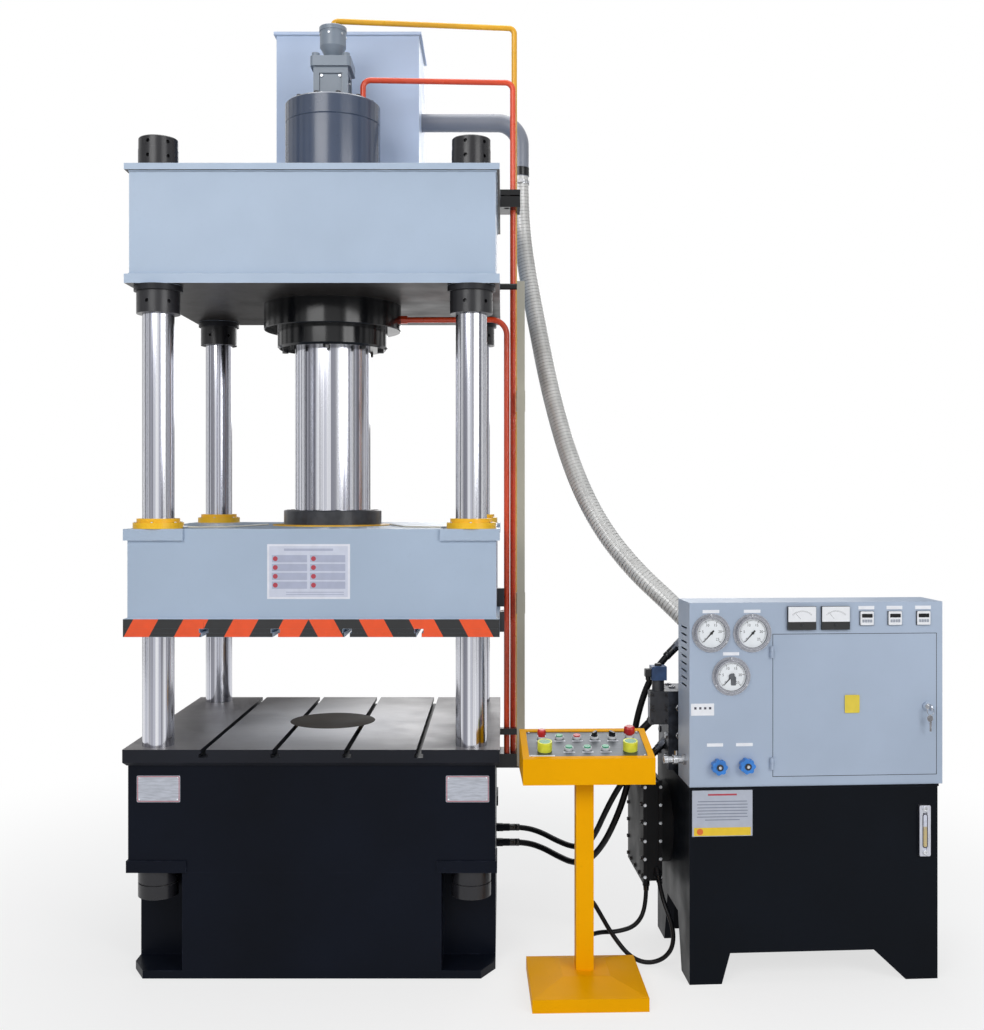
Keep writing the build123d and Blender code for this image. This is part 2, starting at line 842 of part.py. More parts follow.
# Top tank: a welded sheet box with an overhanging lid plate, standing on the crown
with BuildPart() as top_tank:
    tank_middle_y = top_tank_front_y + top_tank_depth / 2
    with BuildSketch(Plane.XY.offset(crown_top)):
        with Locations((top_tank_x, tank_middle_y)):
            Rectangle(top_tank_width, top_tank_depth)
    extrude(amount=top_tank_height)
    with BuildSketch(Plane.XY.offset(crown_top + top_tank_height)):
        with Locations((top_tank_x, tank_middle_y)):
            Rectangle(
                top_tank_width + 2 * top_tank_lid_overhang,
                top_tank_depth + 2 * top_tank_lid_overhang,
            )
    extrude(amount=top_tank_lid_thickness)
top_tank.part.label = "top_tank"
export_step(top_tank.part, "parts/top_tank.step")


def bent_tube(points, diameter, bend):
    """Adds a round tube to the open part, along straight runs with equal bends."""
    start = Vector(*points[0])
    with BuildLine() as centre_line:
        FilletPolyline(*points, radius=bend)
    with BuildSketch(Plane(origin=start, z_dir=Vector(*points[1]) - start)) as section:
        Circle(diameter / 2)
    sweep(section.sketch, path=centre_line.wires()[0])


# Suction pipe: steel tube from the top tank's side, with an elbow down to the clear hose
with BuildPart() as suction_pipe:
    tank_side_x = top_tank_x + top_tank_width / 2
    bent_tube(
        [
            (tank_side_x, suction_pipe_y, suction_pipe_z),
            (suction_pipe_x, suction_pipe_y, suction_pipe_z),
            (suction_pipe_x, suction_pipe_y, suction_pipe_end_z),
        ],
        suction_pipe_d,
        suction_pipe_bend,
    )
suction_pipe.part.label = "suction_pipe"
export_step(suction_pipe.part, "parts/suction_pipe.step")

# Pressure pipes: one from the cylinder's head, one from its flange, both down to the manifold
with BuildPart() as pressure_pipes:
    port_top = cylinder_top_z + port_nut_height
    with BuildSketch(Plane.XY.offset(cylinder_top_z)):
        with Locations((cylinder_port_x, 0)):
            RegularPolygon(port_nut_d / 2, 6)
    extrude(amount=port_nut_height)
    upper_run_z = cylinder_top_z + cylinder_port_rise
    bent_tube(
        [
            (cylinder_port_x, 0, port_top),
            (cylinder_port_x, 0, upper_run_z),
            (riser_a_x, riser_a_y, upper_run_z),
            (riser_a_x, riser_a_y, riser_bottom_z),
        ],
        pipe_d,
        pipe_bend / 2,
    )
    nut_port_x = cylinder_nut_d / 2
    with BuildSketch(Plane.YZ.offset(nut_port_x)):
        with Locations((0, gland_pipe_z)):
            RegularPolygon(port_nut_d / 2, 6)
    extrude(amount=port_nut_height)
    bent_tube(
        [
            (nut_port_x + port_nut_height, 0, gland_pipe_z),
            (riser_b_x, riser_b_y, gland_pipe_z),
            (riser_b_x, riser_b_y, riser_bottom_z),
        ],
        pipe_d,
        pipe_bend,
    )
pressure_pipes.part.label = "pressure_pipes"
export_step(pressure_pipes.part, "parts/pressure_pipes.step")

# Pilot pipe: from the prefill cap over to the side and down to the manifold
with BuildPart() as pilot_pipe:
    bent_tube(
        [
            (0, 0, prefill_top),
            (0, 0, prefill_top + pilot_top_rise),
            (riser_c_x, riser_c_y, prefill_top + pilot_top_rise),
            (riser_c_x, riser_c_y, riser_bottom_z),
        ],
        pipe_d,
        pipe_d,
    )
pilot_pipe.part.label = "pilot_pipe"
export_step(pilot_pipe.part, "parts/pilot_pipe.step")

# Pipe supports: the clamp on the crown's side, the rail's rods and the manifold on the bed
crown_side_x = crown_width / 2 - crown_box_inset
rail_near_x = rail_x - rail_size / 2
pipe_hole_d = pipe_d + 2 * column_hole_clearance
riser_places = [(riser_a_x, riser_a_y), (riser_b_x, riser_b_y), (riser_c_x, riser_c_y)]
with BuildPart() as pipe_supports:
    clamp_back_y = riser_c_y + pipe_d
    clamp_front_y = riser_b_y - pipe_d
    clamp_reach = riser_c_x + pipe_d - crown_width / 2
    clamp_middle = (crown_width / 2 + clamp_reach / 2, (clamp_front_y + clamp_back_y) / 2)
    clamp_plate_z = clamp_z + clamp_height + clamp_plate_gap
    for level, height in ((clamp_z, clamp_height), (clamp_plate_z, clamp_plate_height)):
        with BuildSketch(Plane.XY.offset(level)):
            with Locations(clamp_middle):
                Rectangle(clamp_reach, clamp_back_y - clamp_front_y)
            with Locations(*riser_places):
                Circle(pipe_hole_d / 2, mode=Mode.SUBTRACT)
        extrude(amount=height)
    with BuildSketch(Plane.XY.offset(clamp_z + clamp_height)):
        with Locations(clamp_middle):
            with GridLocations(clamp_reach - 2 * clamp_bolt_d, 2 * clamp_bolt_d, 2, 2):
                Circle(clamp_bolt_d / 2)
    extrude(amount=clamp_plate_gap)
    rod_start_x = rail_near_x - crown_side_x
    with BuildSketch(Plane.YZ.offset(crown_side_x)):
        with Locations((rail_y, rail_rod_top_z)):
            Circle(rail_rod_d / 2)
    extrude(amount=rod_start_x)
    with BuildSketch(Plane.YZ.offset(crown_side_x)):
        with Locations((rail_y, rail_rod_top_z)):
            Circle(rail_rod_d)
    extrude(amount=crown_box_inset)
    with BuildSketch(Plane.YZ.offset(table_width / 2)):
        with Locations((rail_y, rail_bar_z)):
            Rectangle(rail_size, rail_rod_d)
    extrude(amount=rail_near_x - table_width / 2)
    manifold_middle = (clamp_middle[1], riser_bottom_z - manifold_height / 2)
    with BuildSketch(Plane.YZ.offset(bed_width / 2)):
        with Locations(manifold_middle):
            Rectangle(clamp_back_y - clamp_front_y, manifold_height)
    extrude(amount=manifold_length)
    with BuildSketch(Plane.YZ.offset(bed_width / 2 + manifold_length)):
        with Locations((0, manifold_middle[1])):
            RegularPolygon(port_nut_d / 2, 6)
    extrude(amount=port_nut_height)
pipe_supports.part.label = "pipe_supports"
export_step(pipe_supports.part, "parts/pipe_supports.step")

# Limit switch rail: a square tube beside the slide, with two switches on its back
with BuildPart() as limit_switch_rail:
    with BuildSketch(Plane.XY.offset(rail_bottom_z)):
        with Locations((rail_x, rail_y)):
            Rectangle(rail_size, rail_size)
            Rectangle(rail_size - 2 * rail_wall, rail_size - 2 * rail_wall, mode=Mode.SUBTRACT)
    extrude(amount=rail_top_z - rail_bottom_z)
    for switch_z in (switch_low_z, switch_high_z):
        with BuildSketch(Plane.XY.offset(switch_z)):
            with Locations((rail_x, rail_y + rail_size / 2 + switch_depth / 2)):
                Rectangle(switch_width, switch_depth)
        extrude(amount=switch_height)
limit_switch_rail.part.label = "limit_switch_rail"
export_step(limit_switch_rail.part, "parts/limit_switch_rail.step")

# Power unit planes: floor levels with u to the right and v to the back, faces with height up
unit_floor = Plane(
    origin=(unit_x, unit_y, 0),
    x_dir=(cos(radians(unit_turn)), sin(radians(unit_turn)), 0),
    z_dir=(0, 0, 1),
)
tank_body_top = tank_height - tank_top_plate


def unit_point(u, v, z):
    """A point of the power unit in the press's own frame."""
    return unit_floor.from_local_coords(Vector(u, v, z))


def unit_front(v):
    """A plane across the unit, facing the front, with u along and height up."""
    return Plane(origin=unit_point(0, v, 0), x_dir=unit_floor.x_dir, z_dir=-unit_floor.y_dir)


def unit_left(u):
    """A plane along the unit, facing left, with depth running backwards as minus x."""
    return Plane(origin=unit_point(u, 0, 0), x_dir=-unit_floor.y_dir, z_dir=-unit_floor.x_dir)


# Oil tank: a welded box on a skirt that is cut away between the corner legs
with BuildPart() as oil_tank:
    with BuildSketch(unit_floor.offset(tank_floor_z)):
        Rectangle(tank_width, tank_depth, align=Align.MIN)
    extrude(amount=tank_body_top - tank_floor_z)
    with BuildSketch(unit_floor.offset(tank_body_top)):
        with Locations((tank_width / 2, tank_depth / 2)):
            Rectangle(tank_width + 2 * tank_top_overhang, tank_depth + 2 * tank_top_overhang)
    extrude(amount=tank_top_plate)
    for skirt_v in (0, tank_depth - skirt_thickness):
        with BuildSketch(unit_front(skirt_v)):
            with BuildLine():
                Polyline(
                    (0, 0),
                    (leg_left_floor, 0),
                    (leg_left_floor + leg_left_slope, skirt_open_z),
                    (tank_width - leg_right_floor - leg_right_slope, skirt_open_z),
                    (tank_width - leg_right_floor, 0),
                    (tank_width, 0),
                    (tank_width, tank_floor_z),
                    (0, tank_floor_z),
                    close=True,
                )
            make_face()
        extrude(amount=-skirt_thickness)
    for side_u in (skirt_thickness, tank_width):
        with BuildSketch(unit_left(side_u)):
            for far, step in ((0, -1), (-tank_depth, 1)):
                with BuildLine():
                    Polyline(
                        (far, 0),
                        (far + step * leg_side_floor, 0),
                        (far + step * (leg_side_floor + leg_side_slope), tank_floor_z),
                        (far, tank_floor_z),
                        close=True,
                    )
                make_face()
        extrude(amount=skirt_thickness)
    with BuildSketch(Plane.XY.offset(tank_height)):
        with Locations((spigot_x, spigot_y)):
            Circle(suction_pipe_d / 2)
    extrude(amount=spigot_height)
oil_tank.part.label = "oil_tank"
export_step(oil_tank.part, "parts/oil_tank.step")

# Heat exchanger: a pack of plates between two bolted end plates, piped to the tank's side
near_u = -exchanger_gap
power_gland = Plane(
    origin=unit_point(near_u - 0.75 * exchanger_thickness, power_gland_v, exchanger_bottom_z),
    z_dir=(0, 0, -1),
)
gland_tilt = radians(control_gland_tilt)
control_gland = Plane(
    origin=unit_point(near_u - 0.25 * exchanger_thickness, exchanger_front_v, control_gland_z),
    x_dir=unit_floor.x_dir,
    z_dir=-unit_floor.y_dir * cos(gland_tilt) - Vector(0, 0, sin(gland_tilt)),
)
with BuildPart() as heat_exchanger:
    exchanger_middle = (
        -(exchanger_front_v + exchanger_depth / 2),
        exchanger_bottom_z + exchanger_height / 2,
    )
    for plate_u in (near_u, near_u - exchanger_thickness + exchanger_plate):
        with BuildSketch(unit_left(plate_u)):
            with Locations(exchanger_middle):
                Rectangle(exchanger_depth, exchanger_height)
        extrude(amount=exchanger_plate)
    with BuildSketch(unit_left(near_u - exchanger_plate)):
        with Locations(exchanger_middle):
            Rectangle(
                exchanger_depth - 2 * exchanger_core_inset,
                exchanger_height - 2 * exchanger_core_inset,
            )
    extrude(amount=exchanger_thickness - 2 * exchanger_plate)
    with BuildSketch(unit_left(0)):
        with Locations(exchanger_middle):
            Circle(exchanger_shroud_d / 2)
    extrude(amount=exchanger_gap)
    with BuildSketch(power_gland):
        Circle(gland_nut_d / 2)
    extrude(amount=gland_nut_height)
    with BuildSketch(control_gland.offset(-gland_nut_height)):
        Circle(gland_nut_d / 2)
    extrude(amount=2 * gland_nut_height)
heat_exchanger.part.label = "heat_exchanger"
export_step(heat_exchanger.part, "parts/heat_exchanger.step")

# Level gauge: a slotted strip with a sight window, screwed to the tank's face
with BuildPart() as level_gauge:
    with BuildSketch(unit_front(0)) as level_outline:
        with Locations((level_u, level_z)):
            Rectangle(level_width, level_height)
        fillet(level_outline.vertices(), radius=level_window_depth)
    extrude(amount=level_proud)
    with BuildSketch(unit_front(-level_proud)):
        with Locations((level_u, level_z)):
            SlotCenterToCenter(level_window_height, level_window_width, rotation=90)
    extrude(amount=-level_window_depth, mode=Mode.SUBTRACT)
level_gauge.part.label = "level_gauge"
export_step(level_gauge.part, "parts/level_gauge.step")

# Motor and pump: a finned motor on feet, a bell housing and the pump, behind the cabinet
with BuildPart() as motor_pump_set:
    motor_axis_z = tank_height + motor_axis_rise
    motor_end = unit_left(motor_u + motor_length)
    motor_start = unit_left(motor_u)
    with BuildSketch(motor_end):
        with Locations((-motor_v, motor_axis_z)):
            Circle(motor_d / 2)
            with PolarLocations(motor_d / 2, motor_fins, start_angle=360 / motor_fins / 2):
                Rectangle(2 * motor_fin_height, motor_fin_height)
    extrude(amount=motor_length)
    with BuildSketch(motor_end):
        with Locations((-motor_v, motor_axis_z)):
            Circle(motor_d / 2 + motor_fin_height / 2)
    extrude(amount=-motor_cowl_length)
    with BuildSketch(motor_start):
        with Locations((-motor_v, motor_axis_z)):
            Circle(bell_d / 2)
    extrude(amount=bell_length)
    with BuildSketch(motor_start.offset(bell_length)):
        with Locations((-motor_v, motor_axis_z)):
            Circle(pump_d / 2)
    extrude(amount=pump_length)
    with BuildSketch(unit_floor.offset(tank_height)):
        with Locations((motor_u + motor_length / 2, motor_v)):
            Rectangle(motor_foot_depth, motor_foot_width)
    extrude(amount=motor_foot_thickness)
    with BuildSketch(unit_floor.offset(tank_height)):
        with Locations((motor_u + motor_length / 2, motor_v)):
            Rectangle(motor_foot_depth, motor_box)
    extrude(amount=motor_axis_rise)
    with BuildSketch(unit_floor.offset(motor_axis_z)):
        with Locations((motor_u + motor_length / 2, motor_v)):
            Rectangle(motor_box, motor_box)
    extrude(amount=motor_d / 2 + motor_box / 2)
motor_pump_set.part.label = "motor_pump_set"
export_step(motor_pump_set.part, "parts/motor_pump_set.step")

# Valve block: a drilled manifold on the tank, with ports in its left face and a tower on top
block_top = tank_height + block_height


def inclined_port(u, z):
    """A plane on a hose port that looks left and down, out of the block or its tower."""
    outward = -unit_floor.x_dir * cos(radians(port_incline)) - Vector(0, 0, sin(radians(port_incline)))
    return Plane(origin=unit_point(u, port_v, z), x_dir=unit_floor.y_dir, z_dir=outward)


upper_port = inclined_port(block_u, upper_port_z)
lower_port = inclined_port(block_u, lower_port_z)
tower_port = inclined_port(tower_u - tower_size / 2, block_top + tower_height)
with BuildPart() as valve_block:
    with BuildSketch(unit_floor.offset(tank_height)):
        with Locations((block_u, block_v)):
            Rectangle(block_width, block_depth, align=Align.MIN)
    extrude(amount=block_height)
    with BuildSketch(unit_floor.offset(block_top)):
        with Locations((tower_u, port_v)):
            Rectangle(tower_size, tower_size)
    extrude(amount=tower_height)
    for hose_port in (upper_port, lower_port, tower_port):
        with BuildSketch(hose_port.offset(-port_nut_d / 2)):
            RegularPolygon(port_nut_d / 2, 6)
        extrude(amount=port_nut_d)
        with BuildSketch(hose_port):
            Circle(ferrule_d / 2)
        extrude(amount=port_length)
valve_block.part.label = "valve_block"
export_step(valve_block.part, "parts/valve_block.step")

# Control valves: a stacked pair on the block's left face and a row with coils on its top
with BuildPart() as control_valves:
    valve_u = block_u + block_width - valve_width
    with BuildSketch(unit_floor.offset(block_top)):
        with Locations((valve_u, block_v + block_depth / 2)):
            Rectangle(valve_width, valve_body_length)
    extrude(amount=valve_stack)
    with BuildSketch(unit_front(block_v + block_depth / 2 - valve_length / 2)):
        with Locations((valve_u, block_top + valve_stack / 2)):
            Circle(solenoid_d / 2)
    extrude(amount=-valve_length)
    with BuildSketch(unit_left(block_u)):
        with Locations((-(block_v + valve_width / 2), block_top - side_valve_height / 2)):
            Rectangle(valve_width, side_valve_height)
    extrude(amount=side_valve_depth)
    side_valve_u = block_u - side_valve_depth / 2
    with BuildSketch(unit_floor.offset(block_top)):
        with Locations((side_valve_u, block_v + valve_width / 2)):
            Circle(solenoid_d / 2)
    extrude(amount=side_valve_height / 3)
    with BuildSketch(unit_floor.offset(block_top + side_valve_height / 3)):
        with Locations((side_valve_u, block_v + valve_width / 2)):
            Rectangle(valve_width + coil_margin, valve_width + coil_margin)
    extrude(amount=coil_height)
control_valves.part.label = "control_valves"
export_step(control_valves.part, "parts/control_valves.step")

# Electric cabinet: welded sheets. The left front one holds the gauges and knobs, three more
# frame the door, the upper one with holes for the meters, and the left side has louvres
cabinet_top = tank_height + cabinet_height
inner_width = cabinet_width - 2 * cabinet_sheet
inner_depth = cabinet_depth - cabinet_sheet
frame_u = (door_left + cabinet_width) / 2
with BuildPart() as gauge_sheet:
    with BuildSketch(unit_front(0)):
        with Locations((door_left / 2, tank_height + cabinet_height / 2)):
            Rectangle(door_left, cabinet_height)
        with Locations(*gauge_places):
            Circle(gauge_d / 2 + column_hole_clearance, mode=Mode.SUBTRACT)
        with Locations(*knob_places):
            Circle(knob_stem_d / 2 + column_hole_clearance, mode=Mode.SUBTRACT)
    extrude(amount=-cabinet_sheet)
    for hinge_z in (hinge_low_z, hinge_high_z):
        with BuildSketch(unit_floor.offset(hinge_z)):
            with Locations((hinge_u, hinge_v)):
                Circle(hinge_d / 2)
            with Locations((hinge_u - hinge_d / 4, hinge_v / 2)):
                Rectangle(hinge_d / 2, -hinge_v)
        extrude(amount=hinge_length / 2)
        with BuildSketch(unit_floor.offset(hinge_z + hinge_length / 2)):
            with Locations((hinge_u, hinge_v)):
                Circle(hinge_pin_d / 2)
        extrude(amount=hinge_length / 2)
with BuildPart() as meter_sheet:
    with BuildSketch(unit_front(0)):
        with Locations((frame_u, (door_top + cabinet_top) / 2)):
            Rectangle(cabinet_width - door_left, cabinet_top - door_top)
        with Locations(*meter_places):
            Circle(gauge_d / 3, mode=Mode.SUBTRACT)
        with Locations(*counter_places):
            Rectangle(counter_size * 0.9, counter_size * 0.9, mode=Mode.SUBTRACT)
    extrude(amount=-cabinet_sheet)
with BuildPart() as door_sill:
    with BuildSketch(unit_front(0)):
        with Locations((frame_u, (tank_height + door_bottom) / 2)):
            Rectangle(cabinet_width - door_left, door_bottom - tank_height)
    extrude(amount=-cabinet_sheet)
with BuildPart() as door_stile:
    with BuildSketch(unit_front(0)):
        with Locations(((door_right + cabinet_width) / 2, (door_bottom + door_top) / 2)):
            Rectangle(cabinet_width - door_right, door_top - door_bottom)
    extrude(amount=-cabinet_sheet)
with BuildPart() as cabinet_sides:
    with BuildSketch(unit_floor.offset(tank_height)):
        for side_u in (cabinet_sheet / 2, cabinet_width - cabinet_sheet / 2):
            with Locations((side_u, cabinet_sheet + inner_depth / 2)):
                Rectangle(cabinet_sheet, inner_depth)
    extrude(amount=cabinet_height)
    with BuildSketch(unit_left(0)):
        with Locations((-cabinet_depth / 2, louvre_low_z + louvre_pitch * (louvre_count - 1) / 2)):
            with GridLocations(1, louvre_pitch, 1, louvre_count):
                Rectangle(louvre_length, louvre_height)
    extrude(amount=-cabinet_sheet, mode=Mode.SUBTRACT)
with BuildPart() as cabinet_caps:
    for cap_z in (tank_height, cabinet_top - cabinet_sheet):
        with BuildSketch(unit_floor.offset(cap_z)):
            with Locations((cabinet_width / 2, cabinet_sheet + inner_depth / 2)):
                Rectangle(inner_width, inner_depth)
        extrude(amount=cabinet_sheet)
with BuildPart() as cabinet_back:
    with BuildSketch(unit_floor.offset(tank_height + cabinet_sheet)):
        with Locations((cabinet_width / 2, cabinet_depth - cabinet_sheet / 2)):
            Rectangle(inner_width, cabinet_sheet)
    extrude(amount=cabinet_height - 2 * cabinet_sheet)
cabinet_sheets = []
front_sheets = (gauge_sheet, meter_sheet, door_sill, door_stile)
for welded in (*front_sheets, cabinet_sides, cabinet_caps, cabinet_back):
    cabinet_sheets += welded.part.solids()
cabinet_shell = Compound(label="cabinet_shell", children=cabinet_sheets)
export_step(cabinet_shell, "parts/cabinet_shell.step")

# Cabinet door: a folded pan with its hinge knuckles and a rose round the lock
door_width = door_right - door_left - 2 * door_gap
door_height = door_top - door_bottom - 2 * door_gap
door_middle = ((door_left + door_right) / 2, (door_bottom + door_top) / 2)
with BuildPart() as cabinet_door:
    with BuildSketch(unit_front(0)):
        with Locations(door_middle):
            Rectangle(door_width, door_height)
    extrude(amount=-door_fold)
    with BuildSketch(unit_front(door_sheet)):
        with Locations(door_middle):
            Rectangle(door_width - 2 * door_sheet, door_height - 2 * door_sheet)
    extrude(amount=-door_fold, mode=Mode.SUBTRACT)
    with BuildSketch(unit_front(0)):
        with Locations((lock_u, lock_z)):
            Circle(lock_d / 2)
    extrude(amount=lock_rose_height)
    with BuildSketch(unit_front(-lock_rose_height)):
        with Locations((lock_u, lock_z)):
            Circle(lock_plug_d / 2 + running_clearance)
    extrude(amount=-(lock_rose_height + door_sheet), mode=Mode.SUBTRACT)
    cam_slot_front = door_sheet + door_gap / 2
    with BuildSketch(unit_left(door_right)):
        cam_slot_z = lock_z - cam_slot_length / 2 + lock_cam_width
        with Locations((-(cam_slot_front + cam_slot_depth / 2), cam_slot_z)):
            Rectangle(cam_slot_depth, cam_slot_length)
    extrude(amount=2 * door_sheet + door_gap, mode=Mode.SUBTRACT)
    for hinge_z in (hinge_low_z, hinge_high_z):
        with BuildSketch(unit_floor.offset(hinge_z + hinge_length / 2 + door_gap / 4)):
            with Locations((hinge_u, hinge_v)):
                Circle(hinge_d / 2)
            leaf_end = door_left + door_gap + hinge_d
            with Locations(((hinge_u + leaf_end) / 2, -door_sheet / 2)):
                Rectangle(leaf_end - hinge_u, door_sheet)
            with Locations((hinge_u + hinge_d / 4, hinge_v / 2)):
                Rectangle(hinge_d / 2, -hinge_v)
            with Locations((hinge_u, hinge_v)):
                Circle(hinge_pin_d / 2 + running_clearance, mode=Mode.SUBTRACT)
        extrude(amount=hinge_length / 2 - door_gap / 4)
cabinet_door.part.label = "cabinet_door"
export_step(cabinet_door.part, "parts/cabinet_door.step")

# Door lock: a plug with a cam behind the door and a key in its face
with BuildPart() as door_lock:
    with BuildSketch(unit_front(-lock_rose_height - door_gap)):
        with Locations((lock_u, lock_z)):
            Circle(lock_plug_d / 2)
    extrude(amount=-(lock_rose_height + 2 * door_gap + door_sheet))
    cam_front = unit_front(door_sheet + door_gap)
    with BuildSketch(cam_front):
        with Locations((lock_u, lock_z - lock_cam_length / 2)):
            Rectangle(lock_cam_width, lock_cam_length)
    extrude(amount=-door_sheet)
    key_front = -lock_rose_height - door_gap - key_length
    with BuildSketch(unit_front(key_front)):
        with Locations((lock_u, lock_z)):
            Rectangle(key_bow_thickness, lock_plug_d / 2)
    extrude(amount=-key_length)
    key_side = Plane(
        origin=unit_point(lock_u - key_bow_thickness / 2, key_front - key_bow_d / 3, lock_z),
        x_dir=unit_floor.y_dir,
        z_dir=unit_floor.x_dir,
    )
    with BuildSketch(key_side):
        Circle(key_bow_d / 2)
    extrude(amount=key_bow_thickness)
door_lock.part.label = "door_lock"
export_step(door_lock.part, "parts/door_lock.step")

# Gauge cases: three flanged dial gauges let into the cabinet's face
with BuildPart() as gauge_cases:
    for place in gauge_places:
        with BuildSketch(unit_front(0)):
            with Locations(place):
                Circle(gauge_flange_d / 2)
        extrude(amount=gauge_flange_thickness)
        with BuildSketch(unit_front(0)):
            with Locations(place):
                Circle(gauge_bezel_d / 2)
        extrude(amount=gauge_bezel_proud)
        with BuildSketch(unit_front(0)):
            with Locations(place):
                Circle(gauge_d / 2)
        extrude(amount=-gauge_body_depth)
        with BuildSketch(unit_front(-gauge_dial_proud)):
            with Locations(place):
                Circle(gauge_d / 2)
        extrude(amount=gauge_bezel_proud, mode=Mode.SUBTRACT)
gauge_cases.part.label = "gauge_cases"
export_step(gauge_cases.part, "parts/gauge_cases.step")


def gauge_needle(place, turn):
    """A flat pointer on a hub, over the dial of one gauge, turned from straight up."""
    dial = unit_front(-gauge_dial_proud - needle_lift)
    centre = dial.from_local_coords(Vector(place[0], place[1], 0))
    along = dial.x_dir * cos(radians(turn)) + dial.y_dir * sin(radians(turn))
    aim = Plane(origin=centre, x_dir=along, z_dir=dial.z_dir)
    with BuildPart() as needle:
        with BuildSketch(aim):
            Circle(needle_hub_d / 2)
        extrude(amount=4 * needle_thickness)
        with BuildSketch(aim.offset(needle_thickness)):
            with BuildLine():
                Polyline(
                    (-needle_width, -needle_tail),
                    (needle_width, -needle_tail),
                    (needle_width / 4, needle_length),
                    (-needle_width / 4, needle_length),
                    close=True,
                )
            make_face()
        extrude(amount=needle_thickness)
    return needle


# Gauge needles: each turns on its own gauge
gauge_needle_left = gauge_needle(gauge_places[0], -needle_turn)
gauge_needle_left.part.label = "gauge_needle_left"
export_step(gauge_needle_left.part, "parts/gauge_needle_left.step")

gauge_needle_right = gauge_needle(gauge_places[1], -needle_turn)
gauge_needle_right.part.label = "gauge_needle_right"
export_step(gauge_needle_right.part, "parts/gauge_needle_right.step")

gauge_needle_contact = gauge_needle(gauge_places[2], -needle_turn)
gauge_needle_contact.part.label = "gauge_needle_contact"
export_step(gauge_needle_contact.part, "parts/gauge_needle_contact.step")

# Panel meters: two square meters and three counters let into the cabinet's face
with BuildPart() as panel_meters:
    with BuildSketch(unit_front(0)):
        with Locations(*meter_places):
            Rectangle(meter_width, meter_height)
    extrude(amount=meter_proud)
    with BuildSketch(unit_front(0)):
        with Locations(*meter_places):
            Circle(gauge_d / 3 - column_hole_clearance)
    extrude(amount=-meter_body_depth)
    with BuildSketch(unit_front(0)):
        with Locations(*counter_places):
            Rectangle(counter_size, counter_size)
    extrude(amount=counter_proud)
    with BuildSketch(unit_front(0)):
        with Locations(*counter_places):
            Rectangle(counter_size * 0.9 - 1, counter_size * 0.9 - 1)
    extrude(amount=-counter_body_depth)
panel_meters.part.label = "panel_meters"
export_step(panel_meters.part, "parts/panel_meters.step")


def lobed_knob(place):
    """A moulded knob with round lobes on a plain stem, in the cabinet's face."""
    front = unit_front(-knob_gap)
    with BuildPart() as knob:
        with BuildSketch(front):
            with Locations(place):
                Circle(knob_d / 2 - knob_lobe_d / 4)
                with PolarLocations(knob_d / 2 - knob_lobe_d / 2, knob_lobes):
                    Circle(knob_lobe_d / 2)
        extrude(amount=knob_length)
        with BuildSketch(front):
            with Locations(place):
                Circle(knob_stem_d / 2)
        extrude(amount=-(knob_gap + cabinet_depth / 3))
        with BuildSketch(front.offset(knob_length)):
            with Locations(place):
                Circle(knob_stem_d / 2)
        extrude(amount=knob_gap)
    return knob


# Blue knobs: the hand wheels of the two relief valves
blue_knob_left = lobed_knob(knob_places[0])
blue_knob_left.part.label = "blue_knob_left"
export_step(blue_knob_left.part, "parts/blue_knob_left.step")

blue_knob_right = lobed_knob(knob_places[1])
blue_knob_right.part.label = "blue_knob_right"
export_step(blue_knob_right.part, "parts/blue_knob_right.step")

# Pedestal planes: the floor under the post, and the sloping top of the box
pedestal_floor = Plane(
    origin=(pedestal_x, pedestal_y, 0),
    x_dir=(cos(radians(pedestal_turn)), sin(radians(pedestal_turn)), 0),
    z_dir=(0, 0, 1),
)
top_slope = degrees(atan(box_rise / box_depth))
top_middle = pedestal_floor.from_local_coords(Vector(0, 0, box_front_top + box_rise / 2))
box_top = Plane(
    origin=top_middle,
    x_dir=pedestal_floor.x_dir,
    z_dir=Vector(0, 0, 1) * cos(radians(top_slope)) - pedestal_floor.y_dir * sin(radians(top_slope)),
)
top_length = box_depth / cos(radians(top_slope))

# Pedestal stand: a folded base with a hipped top and a square post welded on
post_lower_gland = Plane(
    origin=pedestal_floor.from_local_coords(Vector(post_gland_u, post_size / 2, post_gland_low)),
    z_dir=pedestal_floor.y_dir,
)
post_upper_gland = Plane(
    origin=pedestal_floor.from_local_coords(Vector(post_gland_u, post_size / 2, post_gland_high)),
    z_dir=pedestal_floor.y_dir,
)
with BuildPart() as pedestal_stand:
    base_depth = base_front + base_back
    base_centre = (0, (base_back - base_front) / 2)
    with BuildSketch(pedestal_floor):
        with Locations(base_centre):
            Rectangle(base_width, base_depth)
    extrude(amount=base_edge)
    with BuildSketch(pedestal_floor.offset(base_edge)):
        with Locations(base_centre):
            Rectangle(base_width, base_depth)
    with BuildSketch(pedestal_floor.offset(base_edge + base_rise)):
        Rectangle(base_crest, base_crest)
    loft()
    with BuildSketch(pedestal_floor.offset(base_edge)):
        Rectangle(post_size, post_size)
    extrude(amount=box_bottom_z - base_edge)
    for gland_plane in (post_lower_gland, post_upper_gland):
        with BuildSketch(gland_plane):
            Circle(gland_nut_d / 2)
        extrude(amount=gland_nut_height)
pedestal_stand.part.label = "pedestal_stand"
export_step(pedestal_stand.part, "parts/pedestal_stand.step")

